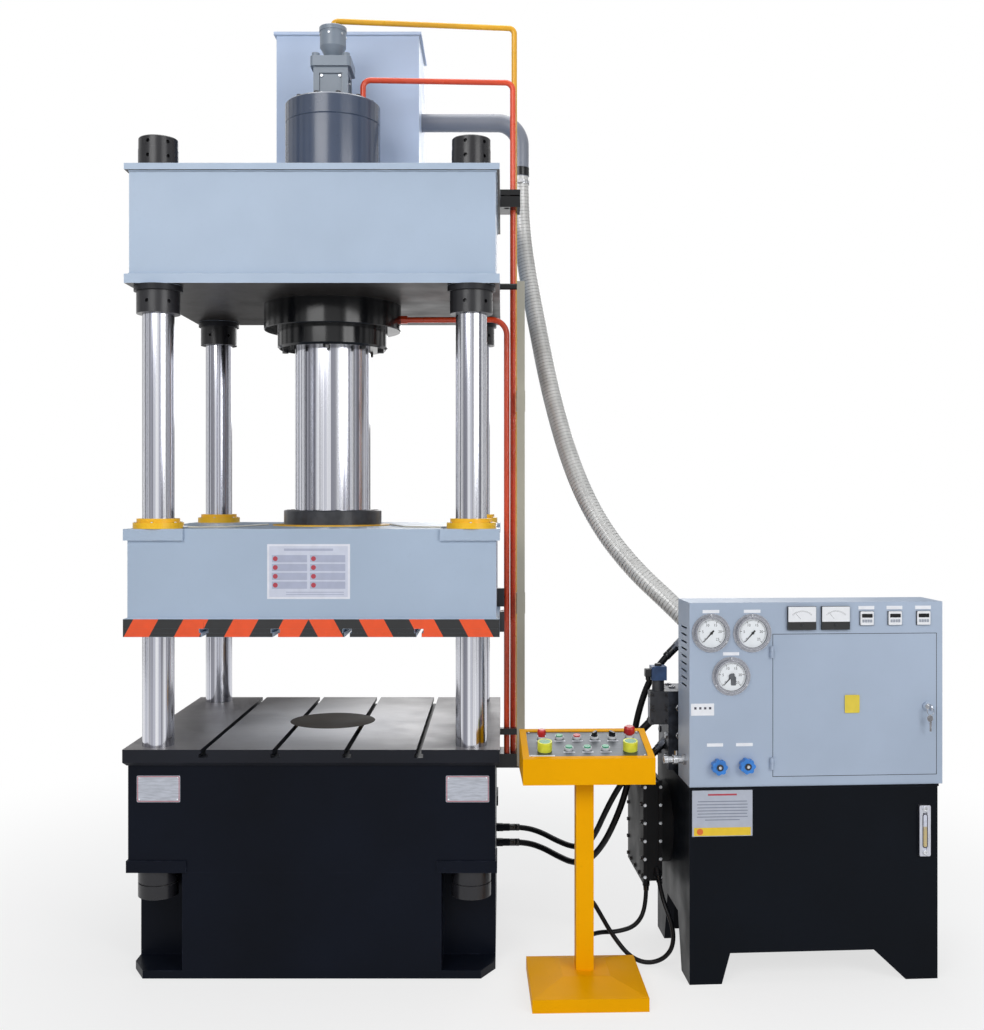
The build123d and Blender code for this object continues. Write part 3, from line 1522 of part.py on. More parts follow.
# Pedestal box: a wedge of folded sheet, open under its panel
box_left = Plane(
    origin=pedestal_floor.from_local_coords(Vector(box_shift - box_width / 2, 0, 0)),
    x_dir=pedestal_floor.y_dir,
    z_dir=pedestal_floor.x_dir,
)
with BuildPart() as pedestal_box:
    with BuildSketch(box_left):
        with BuildLine():
            Polyline(
                (-box_depth / 2, box_bottom_z),
                (box_depth / 2, box_bottom_z),
                (box_depth / 2, box_front_top + box_rise),
                (-box_depth / 2, box_front_top),
                close=True,
            )
        make_face()
    extrude(amount=box_width)
    with BuildSketch(box_top):
        with Locations((box_shift, 0)):
            Rectangle(box_width - 2 * box_rim, top_length - 2 * box_rim)
    extrude(amount=-panel_recess, mode=Mode.SUBTRACT)
    with BuildSketch(pedestal_floor.offset(box_bottom_z + box_wall)):
        with Locations((box_shift, 0)):
            Rectangle(box_width - 3 * box_rim, box_depth - 3 * box_rim)
    extrude(amount=box_rise + box_front_top - box_bottom_z, mode=Mode.SUBTRACT)
pedestal_box.part.label = "pedestal_box"
export_step(pedestal_box.part, "parts/pedestal_box.step")

# Button panel: the plate in the box's recess, with the bezels and palm guards fixed in it
panel_seat = box_top.offset(-panel_recess)
panel_face = box_top.offset(panel_thickness - panel_recess)
palm_places = [(palm_left_u, palm_s), (palm_right_u, palm_s)]
flush_places = [(start_u, upper_row_s), (halt_u, upper_row_s)]
flush_places += [(place_u, lower_row_s) for place_u in lower_row_u]
head_places = [(stop_u, stop_s), (mushroom_u, mushroom_s)]
selector_places = [(selector_left_u, upper_row_s), (selector_right_u, upper_row_s)]
with BuildPart() as button_panel:
    with BuildSketch(panel_seat):
        with Locations((box_shift, 0)):
            Rectangle(
                box_width - 2 * box_rim - column_hole_clearance,
                top_length - 2 * box_rim - column_hole_clearance,
            )
    extrude(amount=panel_thickness)
    with BuildSketch(panel_face):
        with Locations(*flush_places, *selector_places, *head_places):
            Circle(bezel_d / 2)
    extrude(amount=bezel_height)
    with BuildSketch(panel_face):
        with Locations(*palm_places):
            Circle(palm_guard_d / 2)
    extrude(amount=palm_guard_height)
    with BuildSketch(panel_seat):
        with Locations(*flush_places, *selector_places, *head_places):
            Circle(button_d / 2 + button_hole_clearance)
        with Locations(*palm_places):
            Circle(palm_d / 2 + button_hole_clearance)
    extrude(amount=palm_guard_height + panel_recess, mode=Mode.SUBTRACT)
button_panel.part.label = "button_panel"
export_step(button_panel.part, "parts/button_panel.step")


def push_button(place, diameter, top):
    """A plain plunger in its bezel or guard, its face at a height over the panel."""
    with BuildPart() as button:
        with BuildSketch(panel_face.offset(top)):
            with Locations(place):
                Circle(diameter / 2)
        extrude(amount=-(top + button_depth))
    return button


def mushroom_button(place, head_d, head_height):
    """A round head on a plunger, standing over its bezel by the plunger's travel."""
    head_base = panel_face.offset(bezel_height + button_travel + button_proud / 2)
    with BuildPart() as button:
        with BuildSketch(head_base):
            with Locations(place):
                Circle(head_d / 2)
        extrude(amount=head_height)
        fillet(button.edges().sort_by(Axis(box_top.origin, box_top.z_dir))[-1], radius=head_height / 3)
        with BuildSketch(head_base):
            with Locations(place):
                Circle(button_d / 2)
        extrude(amount=-(bezel_height + button_travel + button_depth))
    return button


def selector_switch(place, turn):
    """A turning grip on a round base, over its bezel."""
    centre = panel_face.from_local_coords(Vector(place[0], place[1], bezel_height))
    along = panel_face.x_dir * cos(radians(turn)) + panel_face.y_dir * sin(radians(turn))
    seat = Plane(origin=centre, x_dir=along, z_dir=panel_face.z_dir)
    with BuildPart() as selector:
        with BuildSketch(seat):
            Circle(button_d / 2)
        extrude(amount=-(bezel_height + button_depth / 2))
        with BuildSketch(seat.offset(needle_lift)):
            Circle(selector_d / 2)
        extrude(amount=selector_height / 2)
        with BuildSketch(seat):
            Circle(button_d / 2)
        extrude(amount=selector_height / 2)
        with BuildSketch(seat.offset(selector_height / 2)):
            Rectangle(selector_grip, selector_d)
        extrude(amount=selector_height)
    return selector


# Buttons: each slides in its own bezel
stop_button = mushroom_button((stop_u, stop_s), stop_head_d, stop_head_height)
stop_button.part.label = "stop_button"
export_step(stop_button.part, "parts/stop_button.step")

red_mushroom_button = mushroom_button((mushroom_u, mushroom_s), mushroom_head_d, mushroom_head_height)
red_mushroom_button.part.label = "red_mushroom_button"
export_step(red_mushroom_button.part, "parts/red_mushroom_button.step")

start_button = push_button((start_u, upper_row_s), button_d, bezel_height + button_proud)
start_button.part.label = "start_button"
export_step(start_button.part, "parts/start_button.step")

halt_button = push_button((halt_u, upper_row_s), button_d, bezel_height + button_proud)
halt_button.part.label = "halt_button"
export_step(halt_button.part, "parts/halt_button.step")

green_button_left = push_button((lower_row_u[0], lower_row_s), button_d, bezel_height + button_proud)
green_button_left.part.label = "green_button_left"
export_step(green_button_left.part, "parts/green_button_left.step")

green_button_middle = push_button((lower_row_u[1], lower_row_s), button_d, bezel_height + button_proud)
green_button_middle.part.label = "green_button_middle"
export_step(green_button_middle.part, "parts/green_button_middle.step")

green_button_right = push_button((lower_row_u[2], lower_row_s), button_d, bezel_height + button_proud)
green_button_right.part.label = "green_button_right"
export_step(green_button_right.part, "parts/green_button_right.step")

palm_button_left = push_button((palm_left_u, palm_s), palm_d, palm_guard_height)
palm_button_left.part.label = "palm_button_left"
export_step(palm_button_left.part, "parts/palm_button_left.step")

palm_button_right = push_button((palm_right_u, palm_s), palm_d, palm_guard_height)
palm_button_right.part.label = "palm_button_right"
export_step(palm_button_right.part, "parts/palm_button_right.step")

selector_left = selector_switch(selector_places[0], -35)
selector_left.part.label = "selector_left"
export_step(selector_left.part, "parts/selector_left.step")

selector_right = selector_switch(selector_places[1], 35)
selector_right.part.label = "selector_right"
export_step(selector_right.part, "parts/selector_right.step")


def free_hose(name, points, diameter):
    """A tube along straight runs joined by arcs, each as large as its two runs allow."""
    corners = [Vector(*point) for point in points]
    radii = []
    for before, corner, after in zip(corners, corners[1:], corners[2:]):
        turn = (corner - before).get_angle(after - corner)
        shorter = min((corner - before).length, (after - corner).length)
        radii.append(arc_share * shorter / tan(radians(turn) / 2))
    print(name, "radii", [round(radius) for radius in radii], "diameter", diameter)
    with BuildPart() as tube:
        with BuildLine() as centre_line:
            FilletPolyline(*corners, radius=radii)
        with BuildSketch(Plane(origin=corners[0], z_dir=corners[1] - corners[0])):
            Circle(diameter / 2)
        sweep(path=centre_line.wires()[0])
    length = sum(edge.length for edge in centre_line.edges())
    share = tube.part.volume / (length * 3.14159265 * diameter**2 / 4)
    print(name, "length", round(length), "volume share", round(share, 4))
    return tube


# Suction hose: clear hose from the suction pipe down to the spigot on the oil tank
suction_end_z = tank_height + spigot_height
suction_hose_points = [
    (suction_pipe_x, suction_pipe_y, suction_pipe_end_z),
    (suction_pipe_x, suction_pipe_y, suction_pipe_end_z - 147),
    (suction_pipe_x + 23.5, suction_pipe_y - 8, suction_pipe_end_z - 365),
    (suction_pipe_x + 66.5, suction_pipe_y - 65, suction_pipe_end_z - 615),
    (suction_pipe_x + 124.5, suction_pipe_y - 160, suction_pipe_end_z - 935),
    (suction_pipe_x + 206.5, suction_pipe_y - 275, suction_pipe_end_z - 1245),
    (suction_pipe_x + 306.5, suction_pipe_y - 380, suction_pipe_end_z - 1465),
    (spigot_x - 340, spigot_y + 180, suction_end_z + 630),
    (spigot_x - 220, spigot_y + 100, suction_end_z + 515),
    (spigot_x - 110, spigot_y + 48, suction_end_z + 405),
    (spigot_x - 37, spigot_y + 16, suction_end_z + 282),
    (spigot_x, spigot_y, suction_end_z + 140),
    (spigot_x, spigot_y, suction_end_z),
]
suction_hose = free_hose("suction_hose", suction_hose_points, suction_hose_d)
suction_hose.part.label = "suction_hose"
export_step(suction_hose.part, "parts/suction_hose.step")

def beyond(port, reach):
    """A point straight out from a port or gland plane, as plain numbers."""
    return tuple(port.from_local_coords(Vector(0, 0, reach)))


# Bed hoses: from the ejector's ports in the bed, behind the post, up to the valve block
bed_port_end = bed_width / 2 + port_nut_height + ferrule_length
bed_hose_upper_points = [
    (bed_port_end, bed_port_y, bed_port_upper_z),
    (bed_port_end + 58, bed_port_y, bed_port_upper_z),
    (bed_port_end + 126, bed_port_y - 25, bed_port_upper_z - 13),
    (bed_port_end + 189, bed_port_y - 75, bed_port_upper_z - 34),
    (bed_port_end + 251, bed_port_y - 135, bed_port_upper_z - 42),
    (bed_port_end + 301, bed_port_y - 195, bed_port_upper_z - 18),
    (unit_x - 278, unit_y + 546, tank_height - 309),
    (unit_x - 250, unit_y + 494, tank_height - 224),
    (unit_x - 220, unit_y + 446, tank_height - 144),
    (unit_x - 186, unit_y + 378, tank_height - 62),
    beyond(lower_port, port_length + 77),
    beyond(lower_port, port_length),
]
bed_hose_upper = free_hose("bed_hose_upper", bed_hose_upper_points, bed_hose_d)
bed_hose_upper.part.label = "bed_hose_upper"
export_step(bed_hose_upper.part, "parts/bed_hose_upper.step")

bed_hose_lower_points = [
    (bed_port_end, bed_port_y, bed_port_lower_z),
    (bed_port_end + 63, bed_port_y, bed_port_lower_z),
    (bed_port_end + 131, bed_port_y - 25, bed_port_lower_z - 14),
    (bed_port_end + 193, bed_port_y - 81, bed_port_lower_z - 33),
    (bed_port_end + 251, bed_port_y - 145, bed_port_lower_z - 41),
    (bed_port_end + 308, bed_port_y - 211, bed_port_lower_z - 11),
    (unit_x - 250, unit_y + 516, tank_height - 344),
    (unit_x - 207, unit_y + 465, tank_height - 234),
    (unit_x - 173, unit_y + 435, tank_height - 124),
    (unit_x - 155, unit_y + 411, tank_height - 14),
    (unit_x - 148, unit_y + 393, tank_height + 96),
    (unit_x - 130, unit_y + 380, tank_height + 196),
    (unit_x - 98, unit_y + 366, tank_height + 298),
    beyond(tower_port, port_length + 68),
    beyond(tower_port, port_length),
]
bed_hose_lower = free_hose("bed_hose_lower", bed_hose_lower_points, return_hose_d)
bed_hose_lower.part.label = "bed_hose_lower"
export_step(bed_hose_lower.part, "parts/bed_hose_lower.step")

# Main hose: the pressure line from the manifold on the bed's side to the valve block
main_hose_x = bed_width / 2 + manifold_length + port_nut_height
main_hose_z = riser_bottom_z - manifold_height / 2
main_hose_points = [
    (main_hose_x, 0, main_hose_z),
    (main_hose_x + 71, 0, main_hose_z),
    (main_hose_x + 157, -32, main_hose_z - 18),
    (unit_x - 298, unit_y + 484, main_hose_z - 17),
    (unit_x - 223, unit_y + 424, tank_height + 6),
    (unit_x - 178, unit_y + 371, tank_height + 68),
    beyond(upper_port, port_length + 82),
    beyond(upper_port, port_length),
]
main_hose = free_hose("main_hose", main_hose_points, pressure_hose_d)
main_hose.part.label = "main_hose"
export_step(main_hose.part, "parts/main_hose.step")

# Cables: from the glands on the heat exchanger to the glands in the pedestal's post
power_cable_points = [
    beyond(power_gland, gland_nut_height),
    beyond(power_gland, gland_nut_height + 79),
    (unit_x - 152, unit_y + 252, 112),
    (pedestal_x + 134, pedestal_y + 227, 98),
    (pedestal_x + 65, pedestal_y + 211, 104),
    beyond(post_lower_gland, gland_nut_height + 82),
    beyond(post_lower_gland, gland_nut_height),
]
power_cable = free_hose("power_cable", power_cable_points, cable_d)
power_cable.part.label = "power_cable"
export_step(power_cable.part, "parts/power_cable.step")

control_cable_points = [
    beyond(post_upper_gland, gland_nut_height),
    beyond(post_upper_gland, gland_nut_height + 72),
    (pedestal_x + 40, pedestal_y + 175, 232),
    (pedestal_x + 76, pedestal_y + 193, 166),
    (pedestal_x + 114, pedestal_y + 195, 100),
    (pedestal_x + 172, pedestal_y + 179, 29),
    (unit_x - 129, unit_y + 162, 10),
    (unit_x - 71, unit_y + 146, 30),
    (unit_x - 37, unit_y + 132, 79),
    (unit_x - 38, unit_y + 122, 156),
    beyond(control_gland, gland_nut_height + 82),
    beyond(control_gland, gland_nut_height),
]
control_cable = free_hose("control_cable", control_cable_points, cable_d)
control_cable.part.label = "control_cable"
export_step(control_cable.part, "parts/control_cable.step")
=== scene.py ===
import math

import bmesh
import bpy
import numpy as np
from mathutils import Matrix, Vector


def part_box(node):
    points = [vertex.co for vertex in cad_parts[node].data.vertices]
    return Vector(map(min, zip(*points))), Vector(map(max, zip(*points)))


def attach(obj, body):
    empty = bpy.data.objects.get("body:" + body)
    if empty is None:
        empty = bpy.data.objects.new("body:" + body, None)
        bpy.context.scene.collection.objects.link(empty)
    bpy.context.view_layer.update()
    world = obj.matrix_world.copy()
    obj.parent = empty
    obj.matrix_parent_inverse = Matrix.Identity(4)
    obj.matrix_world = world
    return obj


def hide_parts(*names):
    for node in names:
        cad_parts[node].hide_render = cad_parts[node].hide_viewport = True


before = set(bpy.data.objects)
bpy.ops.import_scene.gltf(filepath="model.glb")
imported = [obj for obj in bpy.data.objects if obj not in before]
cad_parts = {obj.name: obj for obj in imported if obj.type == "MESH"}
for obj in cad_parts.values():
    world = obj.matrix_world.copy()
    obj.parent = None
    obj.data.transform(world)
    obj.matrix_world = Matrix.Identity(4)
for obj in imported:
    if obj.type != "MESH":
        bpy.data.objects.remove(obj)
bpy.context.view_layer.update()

# Studio. A plain pale floor, soft lamps and a level camera in front of the press. Screens of
# several greys stand round the room, seen by reflections alone, so that the chromed bars
# show the streaks that a real hall gives them.
camera_data = bpy.data.cameras.new("front_camera")
camera_data.lens = 41.94
camera_data.sensor_width = 36.0
camera_data.shift_x = -0.0107
camera_data.shift_y = -0.0199
camera = bpy.data.objects.new("front_camera", camera_data)
camera.location = (0.6615, -4.669, 1.674)
camera.rotation_euler = (math.pi / 2, 0, 0)
bpy.context.collection.objects.link(camera)
bpy.context.scene.camera = camera
bpy.context.scene.view_settings.view_transform = "Standard"


def soft_lamp(name, place, aim, size, power):
    """A square area lamp at place, turned so that it shines along the line from place to aim."""
    data = bpy.data.lights.new(name, "AREA")
    data.shape = "SQUARE"
    data.size = size
    data.energy = power
    lamp = bpy.data.objects.new(name, data)
    lamp.location = place
    line = np.array(aim) - np.array(place)
    flat = math.hypot(line[0], line[1])
    lamp.rotation_euler = (math.atan2(flat, -line[2]), 0, math.atan2(line[1], line[0]) - math.pi / 2)
    bpy.context.collection.objects.link(lamp)


soft_lamp("left_lamp", (-2.2, -6.0, 4.6), (0.2, 0.0, 1.5), 3.4, 175)
soft_lamp("right_lamp", (4.6, -5.2, 3.4), (0.9, 0.0, 1.2), 3.0, 150)
soft_lamp("top_lamp", (0.4, 0.6, 6.4), (0.4, 0.0, 0.0), 3.6, 120)
soft_lamp("back_lamp", (1.2, 5.6, 3.8), (0.4, 0.0, 1.4), 3.2, 90)


def add_node(tree, kind, *sources, **settings):
    """A new shader node. Each source is an input's name or number and the value or output for it."""
    made = tree.nodes.new("ShaderNode" + kind)
    for name, value in settings.items():
        setattr(made, name, value)
    for socket, source in sources:
        if isinstance(source, bpy.types.NodeSocket):
            tree.links.new(source, made.inputs[socket])
        else:
            made.inputs[socket].default_value = source
    return made


def seen_white(tree):
    """1 for camera, mirror and glass rays, 0 for the rest: the largest of Light Path's three."""
    rays = add_node(tree, "LightPath").outputs
    first = add_node(tree, "Math", (0, rays["Is Camera Ray"]), (1, rays["Is Glossy Ray"]),
        operation="MAXIMUM")
    glass = (1, rays["Is Transmission Ray"])
    return add_node(tree, "Math", (0, first.outputs[0]), glass, operation="MAXIMUM").outputs[0]


air = bpy.data.worlds.new("studio_air")
air.use_nodes = True
tree = air.node_tree
tree.nodes.clear()
soft_air = add_node(tree, "Background", ("Color", (0.95, 0.97, 1.0, 1)), ("Strength", 0.27))
white_air = add_node(tree, "Background", ("Color", (1, 1, 1, 1)), ("Strength", 1.0))
airs = (("Fac", seen_white(tree)), (1, soft_air.outputs[0]), (2, white_air.outputs[0]))
add_node(tree, "OutputWorld", ("Surface", add_node(tree, "MixShader", *airs).outputs[0]))
bpy.context.scene.world = air


def grid_faces(rows, columns, round_rows=False, round_columns=False):
    """Four corners a face on a grid counted row by row, the last joined to the first where round."""
    i = np.arange(rows if round_rows else rows - 1)
    j = np.arange(columns if round_columns else columns - 1)
    i, j = (a.ravel() for a in np.meshgrid(i, j, indexing="ij"))
    n, m = (i + 1) % rows, (j + 1) % columns
    return np.stack([i * columns + j, n * columns + j, n * columns + m, i * columns + m], 1).tolist()


def stage_piece(name, points, faces):
    """A piece of the room. It comes back with the empty node tree of its material."""
    mesh = bpy.data.meshes.new(name)
    mesh.from_pydata(points.tolist(), [], faces)
    obj = bpy.data.objects.new(name, mesh)
    bpy.context.collection.objects.link(obj)
    material = bpy.data.materials.new(name + "_finish")
    material.use_nodes = True
    material.node_tree.nodes.clear()
    mesh.materials.append(material)
    return obj, material.node_tree


floor_line = np.linspace(-30, 30, 9)
along, deep = (a.ravel() for a in np.meshgrid(floor_line, floor_line, indexing="ij"))
tree = stage_piece("studio_floor", np.stack([along, deep, 0 * along], 1), grid_faces(9, 9))[1]
place = add_node(tree, "TexCoord").outputs["Object"]
from_middle = add_node(tree, "Mapping", ("Vector", place), ("Location", (-0.6, 0, 0))).outputs["Vector"]
far = add_node(tree, "VectorMath", (0, from_middle), operation="LENGTH").outputs["Value"]
ends = (("From Min", 1.2), ("From Max", 3.6), ("To Min", 0.70), ("To Max", 1.0))
fade = add_node(tree, "MapRange", ("Value", far), *ends, interpolation_type="SMOOTHSTEP").outputs["Result"]
seen = add_node(tree, "Math", (0, fade), (1, seen_white(tree)), operation="MULTIPLY").outputs[0]
paint = add_node(tree, "BsdfDiffuse", ("Color", (0.80, 0.80, 0.80, 1))).outputs[0]
floor_mix = add_node(tree, "MixShader", ("Fac", seen), (1, paint), (2, add_node(tree, "Emission").outputs[0]))
add_node(tree, "OutputMaterial", ("Surface", floor_mix.outputs[0]))

screens = np.array([
    (-164, 13, 0.02), (-141, 8, 0.22), (-119, 7, 0.34), (-101, 5, 0.28), (-84, 9, 0.14), (-66, 6, 0.36),
    (-50, 4, 0.42), (-33, 4, 0.50), (20, 4, 0.50), (37, 7, 0.34), (55, 5, 0.44), (73, 8, 0.20),
    (89, 5, 0.40), (107, 9, 0.14), (126, 6, 0.32), (146, 8, 0.20), (165, 14, 0.02),
])
screen_middles, screen_widths = np.radians(screens[:, 0]), np.radians(screens[:, 1])
across_screen = screen_widths[:, None] * np.linspace(-0.5, 0.5, 5)[None, :]
screen_angles = screen_middles[:, None] - math.pi / 2 + across_screen
screen_ring = np.stack([0.3 + 7.5 * np.cos(screen_angles), 7.5 * np.sin(screen_angles), 0 * screen_angles], 2)
screen_points = np.concatenate([screen_ring + [0, 0, 0.1], screen_ring + [0, 0, 6.2]], 1).reshape(-1, 3)
screen_faces = [[10 * s + a for a in face] for s in range(len(screens)) for face in grid_faces(2, 5)]
dark_screens, tree = stage_piece("dark_screens", screen_points, screen_faces)
dark_screens.visible_camera = False
dark_screens.visible_diffuse = False
dark_screens.visible_shadow = False
dark_screens.visible_transmission = False
screen_grey = dark_screens.data.attributes.new("screen_grey", "FLOAT", "FACE")
screen_grey.data.foreach_set("value", np.repeat(screens[:, 2], 4))
grey = add_node(tree, "Attribute", attribute_name="screen_grey").outputs["Fac"]
add_node(tree, "OutputMaterial", ("Surface", add_node(tree, "Emission", ("Color", grey)).outputs[0]))


# Bed. A welded box of thick plate, sprayed near-black, which stands on the floor and
# carries the whole press. Two bare aluminium plates are riveted to its front.
def tint(red, green, blue):
    """A shade from 0-255 as the shader wants it: ((c / 255 + 0.055) / 1.055) to the power 2.4."""
    return (*((np.array([red, green, blue]) / 255 + 0.055) / 1.055) ** 2.4, 1.0)


def grain(tree, scale, stretch=(1, 1, 1), detail=3.0):
    """Noise on Object coordinates, scale cells a metre, stretched along the axes by the three factors."""
    place = add_node(tree, "TexCoord").outputs["Object"]
    drawn = add_node(tree, "Mapping", ("Vector", place), ("Scale", stretch)).outputs["Vector"]
    return add_node(tree, "TexNoise", ("Vector", drawn), ("Scale", scale), ("Detail", detail)).outputs["Fac"]


def between(tree, value, low, high, start=0.0, end=1.0):
    """A value carried from the range low to high into the range start to end, and held there."""
    ends = (("From Min", low), ("From Max", high), ("To Min", start), ("To Max", end))
    return add_node(tree, "MapRange", ("Value", value), *ends).outputs["Result"]


def blend_colour(tree, factor, first, second):
    """first where the factor is 0 and second where it is 1, each a colour or another node's output."""
    return add_node(tree, "Mix", ("Factor", factor), (6, first), (7, second), data_type="RGBA").outputs[2]


def mottle(tree, scale, dark, light, low=0.3, high=0.7, detail=3.0):
    """Two shades from 0-255 mixed by a noise, the first below its value low and the second above high."""
    return blend_colour(tree, between(tree, grain(tree, scale, detail=detail), low, high), tint(*dark),
        tint(*light))


def product(tree, first, second):
    """Two values multiplied."""
    return add_node(tree, "Math", (0, first), (1, second), operation="MULTIPLY").outputs[0]


def edge_mask(tree, radius):
    """1 at a solid's edges and 0 on its faces: how far a rounded normal leaves the true one."""
    rounded = add_node(tree, "Bevel", ("Radius", radius), samples=4).outputs["Normal"]
    true = add_node(tree, "NewGeometry").outputs["Normal"]
    dot = add_node(tree, "VectorMath", (0, rounded), (1, true), operation="DOT_PRODUCT").outputs["Value"]
    return between(tree, dot, 0.97, 0.72)


def bare_material(name):
    """A new node material with its tree and its main shader."""
    material = bpy.data.materials.new(name)
    material.use_nodes = True
    return material, material.node_tree, material.node_tree.nodes["Principled BSDF"]


def rough_and_bump(tree, shader, rough, height, scale, depth, distance):
    """Roughness a fifth less and more by a broad noise, and a bump from height or, without it, a noise."""
    cloud = grain(tree, 7.0, detail=4.0)
    tree.links.new(between(tree, cloud, 0.3, 0.7, rough * 0.82, rough * 1.2), shader.inputs["Roughness"])
    height = grain(tree, scale) if height is None else height
    bump = add_node(tree, "Bump", ("Strength", depth), ("Distance", distance), ("Height", height))
    tree.links.new(bump.outputs["Normal"], shader.inputs["Normal"])


def enamel(name, shade, rough=0.36, spread=0.07, edge_wear_and_highlight=None, edge=0.003, peel=260.0, coat=0.0, gloss=0.5,
        under=None):
    """Sprayed enamel: the shade darker and lighter by spread in broad clouds and fine specks.

    Patches along edges take a second shade, partly wear and partly a painted highlight, and faces that look
    down take a third, under, a painted shade.
    """
    material, tree, shader = bare_material(name)
    dark, light = np.array(shade) * (1 - spread), np.minimum(np.array(shade) * (1 + spread * 0.7), 255)
    speck = between(tree, grain(tree, 90.0), 0.62, 0.74, 0.0, 0.35)
    body = blend_colour(tree, speck, mottle(tree, 1.6, dark, light, 0.35, 0.65, 5.0), tint(*dark))
    # Edge patches in the second shade: partly wear, partly a painted highlight along the edges.
    if edge_wear_and_highlight is not None:
        patch = between(tree, grain(tree, 22.0, detail=5.0), 0.45, 0.62, 0.15, 1.0)
        body = blend_colour(tree, product(tree, edge_mask(tree, edge), patch), body, tint(*edge_wear_and_highlight))
    # Faces that look down take the shade under: a painted shade for the dark beneath the thing.
    if under is not None:
        normal = add_node(tree, "NewGeometry").outputs["True Normal"]
        upward = add_node(tree, "SeparateXYZ", (0, normal)).outputs["Z"]
        body = blend_colour(tree, between(tree, upward, -0.98, -0.9, 1, 0), body, tint(*under))
    tree.links.new(body, shader.inputs["Base Color"])
    shader.inputs["Specular IOR Level"].default_value = gloss
    shader.inputs["Coat Weight"].default_value = coat
    shader.inputs["Coat Roughness"].default_value = 0.12
    rough_and_bump(tree, shader, rough, None, peel, 0.10, 0.0006)
    return material


def give(material, *nodes):
    """The material in every slot of these CAD nodes."""
    for node in nodes:
        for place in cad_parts[node].material_slots:
            place.material = material


# Its lighter edges are partly wear and partly a painted highlight.
bed_paint = enamel(
    "bed_paint_finish", (14, 18, 28), rough=0.40, spread=0.18, edge_wear_and_highlight=(44, 48, 62), edge=0.005, gloss=0.08)
give(bed_paint, "bed_frame", "ejector_cylinder")


def slab(centre, across, up, width, height, thick, corner=0.0, edge=0.0, steps=5):
    """A flat plate facing across x up: each corner is a quarter circle, and the front is drawn in by edge."""
    across, up = np.array(across, float), np.array(up, float)
    out = np.cross(across, up)
    quarter = np.repeat(np.arange(4), steps)
    angle = np.radians(90 * quarter + np.tile(np.linspace(0, 90, steps), 4))
    side = np.array([1, -1, -1, 1])[quarter]
    top = np.array([1, 1, -1, -1])[quarter]
    rings = []
    for drawn, depth in ((0.0, 0.0), (0.0, thick - edge), (edge, thick)):
        bend = max(corner - drawn, 0.0)
        x = side * (width / 2 - drawn - bend) + bend * np.cos(angle)
        y = top * (height / 2 - drawn - bend) + bend * np.sin(angle)
        rings.append(np.array(centre) + x[:, None] * across + y[:, None] * up + depth * out)
    count = 4 * steps
    faces = grid_faces(3, count, round_columns=True)
    faces += [list(range(count)), list(range(2 * count, 3 * count))]
    return np.concatenate(rings), faces


EAST, NORTH, HIGH = np.array((1.0, 0, 0)), np.array((0, 1.0, 0)), np.array((0, 0, 1.0))


def front_slab(x, y, z, *sizes):
    """A flat plate that faces the front of the press."""
    return slab((x, y, z), EAST, HIGH, *sizes)


def turned(foot, axis, profile, sides=24):
    """A turned or six-sided form: profile (r, h) at angle a is foot + h axis + r cos(a) s + r sin(a) t.

    The directions s and t lie across the axis and across each other.
    """
    axis = np.array(axis, float) / np.linalg.norm(axis)
    aside = np.cross(axis, (0, 0, 1) if abs(axis[2]) < 0.9 else (0, 1, 0))
    aside /= np.linalg.norm(aside)
    third = np.cross(axis, aside)
    profile = np.array(profile, float)
    angle = np.arange(sides) * 2 * math.pi / sides
    spoke = np.cos(angle)[:, None] * aside + np.sin(angle)[:, None] * third
    points = np.array(foot) + profile[:, None, 1:] * axis + profile[:, None, :1] * spoke[None]
    return points.reshape(-1, 3), grid_faces(len(profile), sides, round_columns=True)


def piece(name, shells, body, material, smooth=35):
    """One mesh from several shells, doubled points merged, faces outwards and soft below the angle smooth."""
    starts = np.cumsum([0] + [len(points) for points, faces in shells])
    points = np.concatenate([points for points, faces in shells]).tolist()
    shifted = [[int(s + a) for a in face] for s, (_, faces) in zip(starts, shells) for face in faces]
    mesh = bpy.data.meshes.new(name)
    mesh.from_pydata(points, [], shifted)
    knit = bmesh.new()
    knit.from_mesh(mesh)
    bmesh.ops.remove_doubles(knit, verts=knit.verts, dist=1e-6)
    bmesh.ops.recalc_face_normals(knit, faces=knit.faces)
    knit.to_mesh(mesh)
    knit.free()
    mesh.shade_smooth()
    mesh.set_sharp_from_angle(angle=math.radians(smooth))
    mesh.materials.append(material)
    obj = bpy.data.objects.new(name, mesh)
    bpy.context.collection.objects.link(obj)
    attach(obj, body)
    return obj


def metal(name, shade, rough=0.3, stretch=(1, 1, 1), scale=60.0, spread=0.12, edge_wear_and_highlight=None, depth=0.12):
    """Bare metal: its shade and roughness vary with a noise stretched along the way it was ground."""
    material, tree, shader = bare_material(name)
    shader.inputs["Metallic"].default_value = 1.0
    dark, light = np.array(shade) * (1 - spread), np.minimum(np.array(shade) * (1 + spread), 255)
    line = grain(tree, scale, stretch, 5.0)
    body = blend_colour(tree, between(tree, line, 0.35, 0.65), tint(*dark), tint(*light))
    if edge_wear_and_highlight is not None:
        body = blend_colour(tree, edge_mask(tree, 0.002), body, tint(*edge_wear_and_highlight))
    tree.links.new(body, shader.inputs["Base Color"])
    rough_and_bump(tree, shader, rough, line, scale, depth, 0.0004)
    return material


def printed(name, shade, rough=0.45, spread=0.04):
    """Printed film: one shade with a faint cloud, and a fine bump like thin vinyl."""
    material, tree, shader = bare_material(name)
    tree.links.new(mottle(tree, 35.0, np.array(shade) * (1 - spread), shade), shader.inputs["Base Color"])
    rough_and_bump(tree, shader, rough, None, 500.0, 0.05, 0.0003)
    return material


def bright(name, shells, body="press"):
    """A piece of bright steel, such as bolts, screws and clips."""
    return piece(name, shells, body, rivet_metal)


